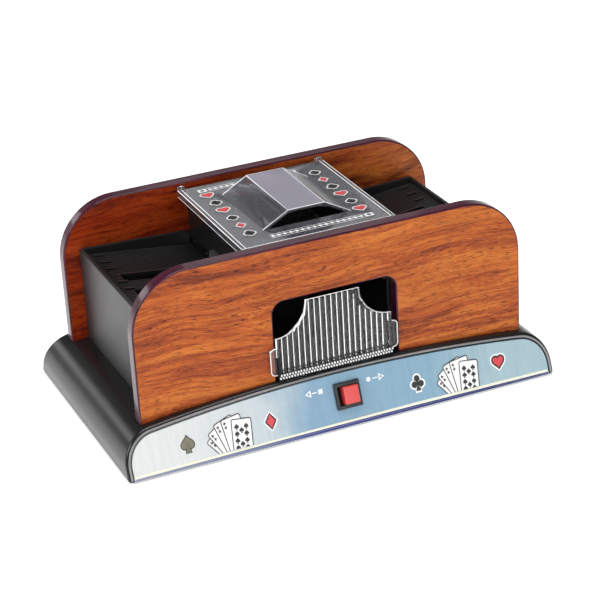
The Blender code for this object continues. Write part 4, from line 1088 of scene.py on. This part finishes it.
def make_cover():
    half_x, half_y = COVER_HALF_WIDTH, COVER_HALF_DEPTH
    in_x = half_x - COVER_THICKNESS
    under = centred(in_x, half_y + THROUGH, (0, COVER_TOP - COVER_THICKNESS))
    bump = prism_y([bump_outline(0)], BUMP_FRONT, BUMP_BACK)
    bump_edges = [e for e in bump.edges if all(v.co.z > COVER_TOP for v in e.verts)]
    rounded(bump, 0.5 * MM, edges=bump_edges)
    inside = prism_y([bump_outline(COVER_THICKNESS)], BUMP_FRONT - FIT, BUMP_BACK - COVER_THICKNESS)
    plate = centred(half_x, half_y, (COVER_TOP - COVER_LIP, COVER_TOP))
    cover = solid_piece("clear_cover", plate, "cover", "tinted_clear", "top_cover", edge=0.5 * MM,
                        segments=3, steps=[(CUT, under), (JOIN, bump), (CUT, inside)],
                        finishes=["tinted_clear", "ridge_painted_reflection"])
    # Faces on the ridge's flat top take the milky ridge finish: a painted reflection.
    ridge_top = COVER_TOP + BUMP_HEIGHT - 0.2 * MM
    for face in cover.data.polygons:
        face.material_index = 1 if face.center.z > ridge_top and face.normal.z > 0.9 else 0
    cover_edge_highlights()
    catches = []
    for way in (-1, 1):
        across = sorted(way * (half_x - step) for step in CATCH_X)
        along = [half_y + step for step in CATCH_Y]
        rise = [COVER_TOP + step for step in CATCH_Z]
        catches.append(rounded(box(across, along, rise), 0.7 * MM))
    solid_piece("cover_catches", merged(catches), "cover", "tinted_clear")
    print_cover()


def cover_edge_highlights():
    """Painted highlights along the clear plastic's edges: whitish beads on the plate's rim, the ridge and
    the open front end.
    """
    sink = 0.2 * MM
    x, y, rim = COVER_HALF_WIDTH - sink, COVER_HALF_DEPTH - sink, COVER_TOP - sink
    low = COVER_TOP - COVER_LIP + GAP
    routes = [[(-x, y, rim), (-x, -y, rim), (x, -y, rim), (x, y, rim)], [(-x, y, low), (-x, -y, low)]]
    for way in (-1, 1):
        inner, line_z = way * (COVER_HALF_WIDTH - COVER_LINE), COVER_TOP - sink / 2
        routes += [[(way * x, -y, rim), (way * x, -y, low)], [(inner, y, line_z), (inner, -y, line_z)]]
    ridge_top = COVER_TOP + BUMP_HEIGHT - 0.25 * MM
    ridge, foot = BUMP_RIDGE - sink / 2, BUMP_BASE - sink
    front, back = BUMP_FRONT + sink, BUMP_BACK - sink
    for end in (front, back):
        profile = ((-foot, COVER_TOP), (-ridge, ridge_top), (ridge, ridge_top), (foot, COVER_TOP))
        routes.append([(BUMP_CENTRE + across, end, z) for across, z in profile])
    routes += [[(BUMP_CENTRE + way * ridge, y, ridge_top) for y in (front, back)] for way in (-1, 1)]
    bead("cover_edge_highlights", routes, 0.27 * MM, "cover", "tinted_clear", "clear_edge_highlight")


def cover_place(x, y, height):
    return Vector((x, y, COVER_TOP + height))


COVER_SUITS = {-1: ("heart", "club", "heart", "spade", "diamond", "club"),
               1: ("spade", "diamond", "club", "heart", "spade", "heart")}
SUIT_COLUMN = 30.3 * MM
SUIT_PITCH = 11.2 * MM
SUIT_SIZE = 5.6 * MM
SUIT_SHIFT = 1.2 * MM
BAND_Y = 36.4 * MM
BAND_HALF = 24 * MM
BAND_PITCH = 1.6 * MM
BAND_GEM = 2.9 * MM
BAND_DOT = 0.45 * MM
BAND_LINE_Y = 2.1 * MM
BAND_LINE_HALF = 0.16 * MM
BAND_SHIFT = 2.2 * MM
BLOCK_X = 30.5 * MM
BLOCK_HALF = (2.3 * MM, 1.9 * MM)
BLOCK_GEM = 2.8 * MM


def wide_diamond(stretch, x, y, size):
    return shifted([(px * stretch, py) for px, py in diamond()], x, y, size)


def print_band(sheet, way):
    """Diamonds and dots in turn between two fine lines, and a block past one end."""
    middle, y = -way * BAND_SHIFT, way * BAND_Y
    count = 2 * int(BAND_HALF / BAND_PITCH)
    for index in range(count + 1):
        x = middle + (index - count / 2) * BAND_PITCH
        mark = circle((x, y), BAND_DOT, 12) if index % 2 else wide_diamond(1.25, x, y, BAND_GEM)
        sheet.plate("white", mark)
    for line_y in (y - BAND_LINE_Y, y + BAND_LINE_Y):
        sheet.plate("white", rectangle(middle, line_y, BAND_HALF + BAND_GEM / 2, BAND_LINE_HALF))
    sheet.plate("white", rectangle(-way * BLOCK_X, y, *BLOCK_HALF))
    sheet.plate("black", wide_diamond(1.6, -way * BLOCK_X, y, BLOCK_GEM), 1)


def print_cover():
    """Suits down both sides of the cover and a band across its front and its back."""
    sheet = Print(cover_place)
    line, thin = ("white", 0.95 * MM), ("black", 0.28 * MM)
    for side, names in COVER_SUITS.items():
        for index, name in enumerate(names):
            fill = "red" if name in ("heart", "diamond") else "black"
            y = SUIT_PITCH * ((len(names) - 1) / 2 - index) + SUIT_SHIFT
            stamp(sheet, name, side * SUIT_COLUMN, y, SUIT_SIZE, line, thin, (fill, 0))
    for way in (-1, 1):
        print_band(sheet, way)
    sheet.finish("cover_print", "cover", "tinted_clear")


# ---- drawer

def gate_outline():
    half, ear = DRAWER_HALF_WIDTH, EAR_HALF_WIDTH
    swoop = (half - GATE_RIDGE, GATE_TOP - GATE_SHOULDER)
    right = [(half, DRAWER_BOTTOM), (half, EAR_BOTTOM),
             *arc((ear - EAR_CORNER, EAR_BOTTOM + EAR_CORNER), EAR_CORNER, -math.pi / 2, 0, 6),
             *arc((ear - EAR_CORNER, EAR_TOP - EAR_CORNER), EAR_CORNER, 0, math.pi / 2, 6),
             (half, EAR_TOP), *arc((half, GATE_TOP), swoop, 1.5 * math.pi, math.pi, 20)]
    left = [(-x, z) for x, z in reversed(right)]
    return [(DRAWER_CENTRE + x, z) for x, z in [*right, *left]]


def rib_centres():
    first = -(RIB_COUNT - 1) / 2 * RIB_PITCH
    return [DRAWER_CENTRE + first + index * RIB_PITCH for index in range(RIB_COUNT)]


def ribbed_sheet():
    front = []
    for middle in rib_centres():
        front += arc((middle, GATE_BACK_Y - GATE_PLATE), (RIB_HALF_WIDTH, -RIB_HEIGHT), math.pi, 0, 10)
    side = EAR_HALF_WIDTH + THROUGH
    outline = [(DRAWER_CENTRE - side, GATE_BACK_Y), (DRAWER_CENTRE - side, GATE_BACK_Y - GATE_PLATE), *front,
               (DRAWER_CENTRE + side, GATE_BACK_Y - GATE_PLATE), (DRAWER_CENTRE + side, GATE_BACK_Y)]
    return slab(outline, DRAWER_BOTTOM - THROUGH, GATE_TOP + THROUGH)


def knurls():
    """Two rows of small bumps along the foot of the gate."""
    bumps = []
    face_line = GATE_BACK_Y - GATE_PLATE - RIB_HEIGHT + KNURL_SINK
    for step in range(2 * RIB_COUNT - 1):
        x = rib_centres()[0] + step * RIB_PITCH / 2
        for row in range(2):
            bm = bmesh.new()
            bmesh.ops.create_uvsphere(bm, u_segments=12, v_segments=8, radius=1)
            place = (x + row * KNURL_LEAN, face_line, KNURL_Z + row * KNURL_PITCH)
            bm.transform(Matrix.Translation(place) @ Matrix.Diagonal((*KNURL_RADII, 1)))
            bumps.append(bm)
    return merged(bumps)


def make_drawer():
    outline = prism_y([gate_outline()], GATE_BACK_Y - THROUGH, GATE_BACK_Y + THROUGH)
    left, right = DRAWER_CENTRE - DRAWER_HALF_WIDTH, DRAWER_CENTRE + DRAWER_HALF_WIDTH
    wall = DRAWER_THICKNESS
    tub = box((left, right), (GATE_BACK_Y - GATE_PLATE / 2, DRAWER_BACK),
              (DRAWER_BOTTOM + HAIR, DRAWER_WALL_TOP))
    inside = box((left + wall, right - wall), (GATE_BACK_Y, DRAWER_BACK - wall), (DRAWER_BOTTOM + wall, FAR))
    solid_piece("clear_drawer", ribbed_sheet(), "drawer", "clear", "card_drawer",
                steps=[(KEEP_INSIDE, outline), (JOIN, tub), (CUT, inside)])
    # A whitish bead along the gate's outline: painted highlight on the clear edge.
    rim = [(x, GATE_BACK_Y - GATE_PLATE, z) for x, z in gate_outline()[1:-1]]
    bead("drawer_gate_rim_highlight", [rim], 0.28 * MM, "drawer", "clear", "clear_edge_highlight")
    # The teeth take the whitish edge finish: painted highlight on the knurls.
    teeth = link("drawer_teeth", mesh_from(knurls()))
    teeth.data.shade_smooth()
    coat(teeth, "clear_edge_highlight")
    dress(teeth, "drawer", "clear")


# ---- switch, rollers and the rest

def make_switch():
    bezel_top = GAP + BEZEL_THICKNESS
    bezel_x, bezel_y = (size / 2 for size in SWITCH_BEZEL)
    body_x, body_y = (size / 2 for size in SWITCH_OPENING)
    plate = rounded(centred(bezel_x, bezel_y, (GAP, bezel_top)), 0.4 * MM)
    body = centred(body_x, body_y, (-SWITCH_BODY_DEPTH, bezel_top - BEZEL_THICKNESS / 2))
    well = centred(body_x - WELL_WALL, body_y - WELL_WALL, (-SWITCH_WELL_DEPTH, THROUGH))
    solid_piece("switch_bezel", at_switch(plate), "housing", "satin_black", "switch_body",
                steps=[(JOIN, at_switch(body)), (CUT, at_switch(well))])
    cap = rounded(centred(KNOB_SIZE[0] / 2, KNOB_SIZE[1] / 2, KNOB_REACH), 0.6 * MM, 4)
    for vert in cap.verts:
        taper = 1 - KNOB_TAPER * max(0.0, vert.co.z / KNOB_REACH[1])
        vert.co.x *= taper
        vert.co.y *= taper
    knob = moved(at_switch(cap), KNOB_TRAVEL / 2, 0, 0)
    solid_piece("switch_cap", knob, "knob", "red", "switch_knob")


def make_roller(side_name, end):
    """A feed roller: a rubber tyre with fine lengthwise flutes."""
    low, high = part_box(f"{side_name}_{end}_roller")
    radius, half_width = (high[2] - low[2]) / 2, (high[1] - low[1]) / 2
    outline = circle((0, 0), radius, FLUTES * 3)
    outline[::3] = circle((0, 0), radius - FLUTE_DEPTH, FLUTES)
    bm = prism_y([outline, circle((0, 0), TYRE_BORE)], -half_width, half_width)
    moved(bm, *((a + b) / 2 for a, b in zip(low, high)))
    solid_piece(f"{side_name}_{end}_tyre", bm, f"{side_name}_roller", "rubber", f"{side_name}_{end}_roller")


def dress_frame():
    """Every CAD node gets its slot's finish, also where a finer piece stands for it."""
    slots = {part["node"]: part["material_slot"] for part in frame["record"]["subparts"]}
    for name, node in frame["nodes"].items():
        node.data.materials.clear()
        coat(node, slots[name])


# ---- floor, light and camera

def make_stage():
    bm = bmesh.new()
    bmesh.ops.create_grid(bm, x_segments=8, y_segments=8, size=4)
    floor = link("floor", mesh_from(bm))
    coat(floor, "floor")


SKY = ((0.03, 0.68), (0.40, 0.14))
LAMPS = (("key", (-1.2, -0.2, 0.8), (0.6, 0.6), 11), ("rim", (-0.8, 1.4, 0.55), (0.5, 0.3), 1.2),
         ("top", (0.0, -0.1, 1.25), (0.7, 0.5), 10), ("front", (0.1, -1.6, 0.35), (0.9, 0.4), 6),
         ("veil", (0.54, 1.33, 0.82), (0.35, 0.3), 0.20))
LAMP_TARGET = Vector((0, 0, 0.05))


def make_world():
    """A studio whose walls are bright and whose ceiling is dim, from the (height, light) pairs in SKY."""
    world = bpy.data.worlds.new("studio")
    bpy.context.scene.world = world
    world.use_nodes = True
    nodes, links = world.node_tree.nodes, world.node_tree.links
    height = nodes.new("ShaderNodeSeparateXYZ")
    links.new(nodes.new("ShaderNodeTexCoord").outputs["Generated"], height.inputs[0])
    sky = nodes.new("ShaderNodeValToRGB")
    links.new(height.outputs[2], sky.inputs[0])
    for element, (position, light) in zip(sky.color_ramp.elements, SKY):
        configured(element, color=(light, light, light, 1), position=position)
    links.new(sky.outputs[0], nodes["Background"].inputs["Color"])
    # Standard keeps the pale ground fully white.
    bpy.context.scene.view_settings.view_transform = "Standard"


def make_lamps():
    """Five soft lamps of (name, place, size, power), all turned to the middle of the machine."""
    for name, place, (width, height), power in LAMPS:
        light = bpy.data.lights.new(name, "AREA")
        lamp = link(name, configured(light, shape="RECTANGLE", size=width, size_y=height, energy=power))
        lamp.location = place
        lamp.rotation_euler = (LAMP_TARGET - Vector(place)).to_track_quat("-Z", "Y").to_euler()


YAW, PITCH, ROLL = (math.radians(a) for a in (22.44, 25.09, -3.41))
CAMERA_PLACE = (-0.37806, -0.92349, 0.51266)
LENS, SENSOR = 127.2, 36
SHIFT = (0.0073, -0.0077)


def make_camera():
    forward = Vector((math.sin(YAW) * math.cos(PITCH), math.cos(YAW) * math.cos(PITCH), -math.sin(PITCH)))
    level = Vector((math.cos(YAW), -math.sin(YAW), 0))
    up = level.cross(forward)
    right = math.cos(ROLL) * level + math.sin(ROLL) * up
    top = math.cos(ROLL) * up - math.sin(ROLL) * level
    data = configured(bpy.data.cameras.new("camera"), lens=LENS, sensor_width=SENSOR,
                      shift_x=SHIFT[0], shift_y=SHIFT[1])
    camera = link("camera", data)
    turn = Matrix((right, top, -forward)).transposed().to_4x4()
    camera.matrix_world = Matrix.Translation(CAMERA_PLACE) @ turn
    bpy.context.scene.camera = camera


make_camera()
dress_frame()
make_base()
make_panel()
make_board("front_side_board", "front_board", -1, True, "laminate")
make_board("rear_side_board", "rear_board", 1, False, "rear_laminate_painted_shade")
for tray_side in SIDES:
    make_tray(tray_side)
    for roller_end in ("front", "rear"):
        make_roller(tray_side, roller_end)
make_tower()
make_cover()
make_drawer()
make_switch()
make_stage()
make_world()
make_lamps()
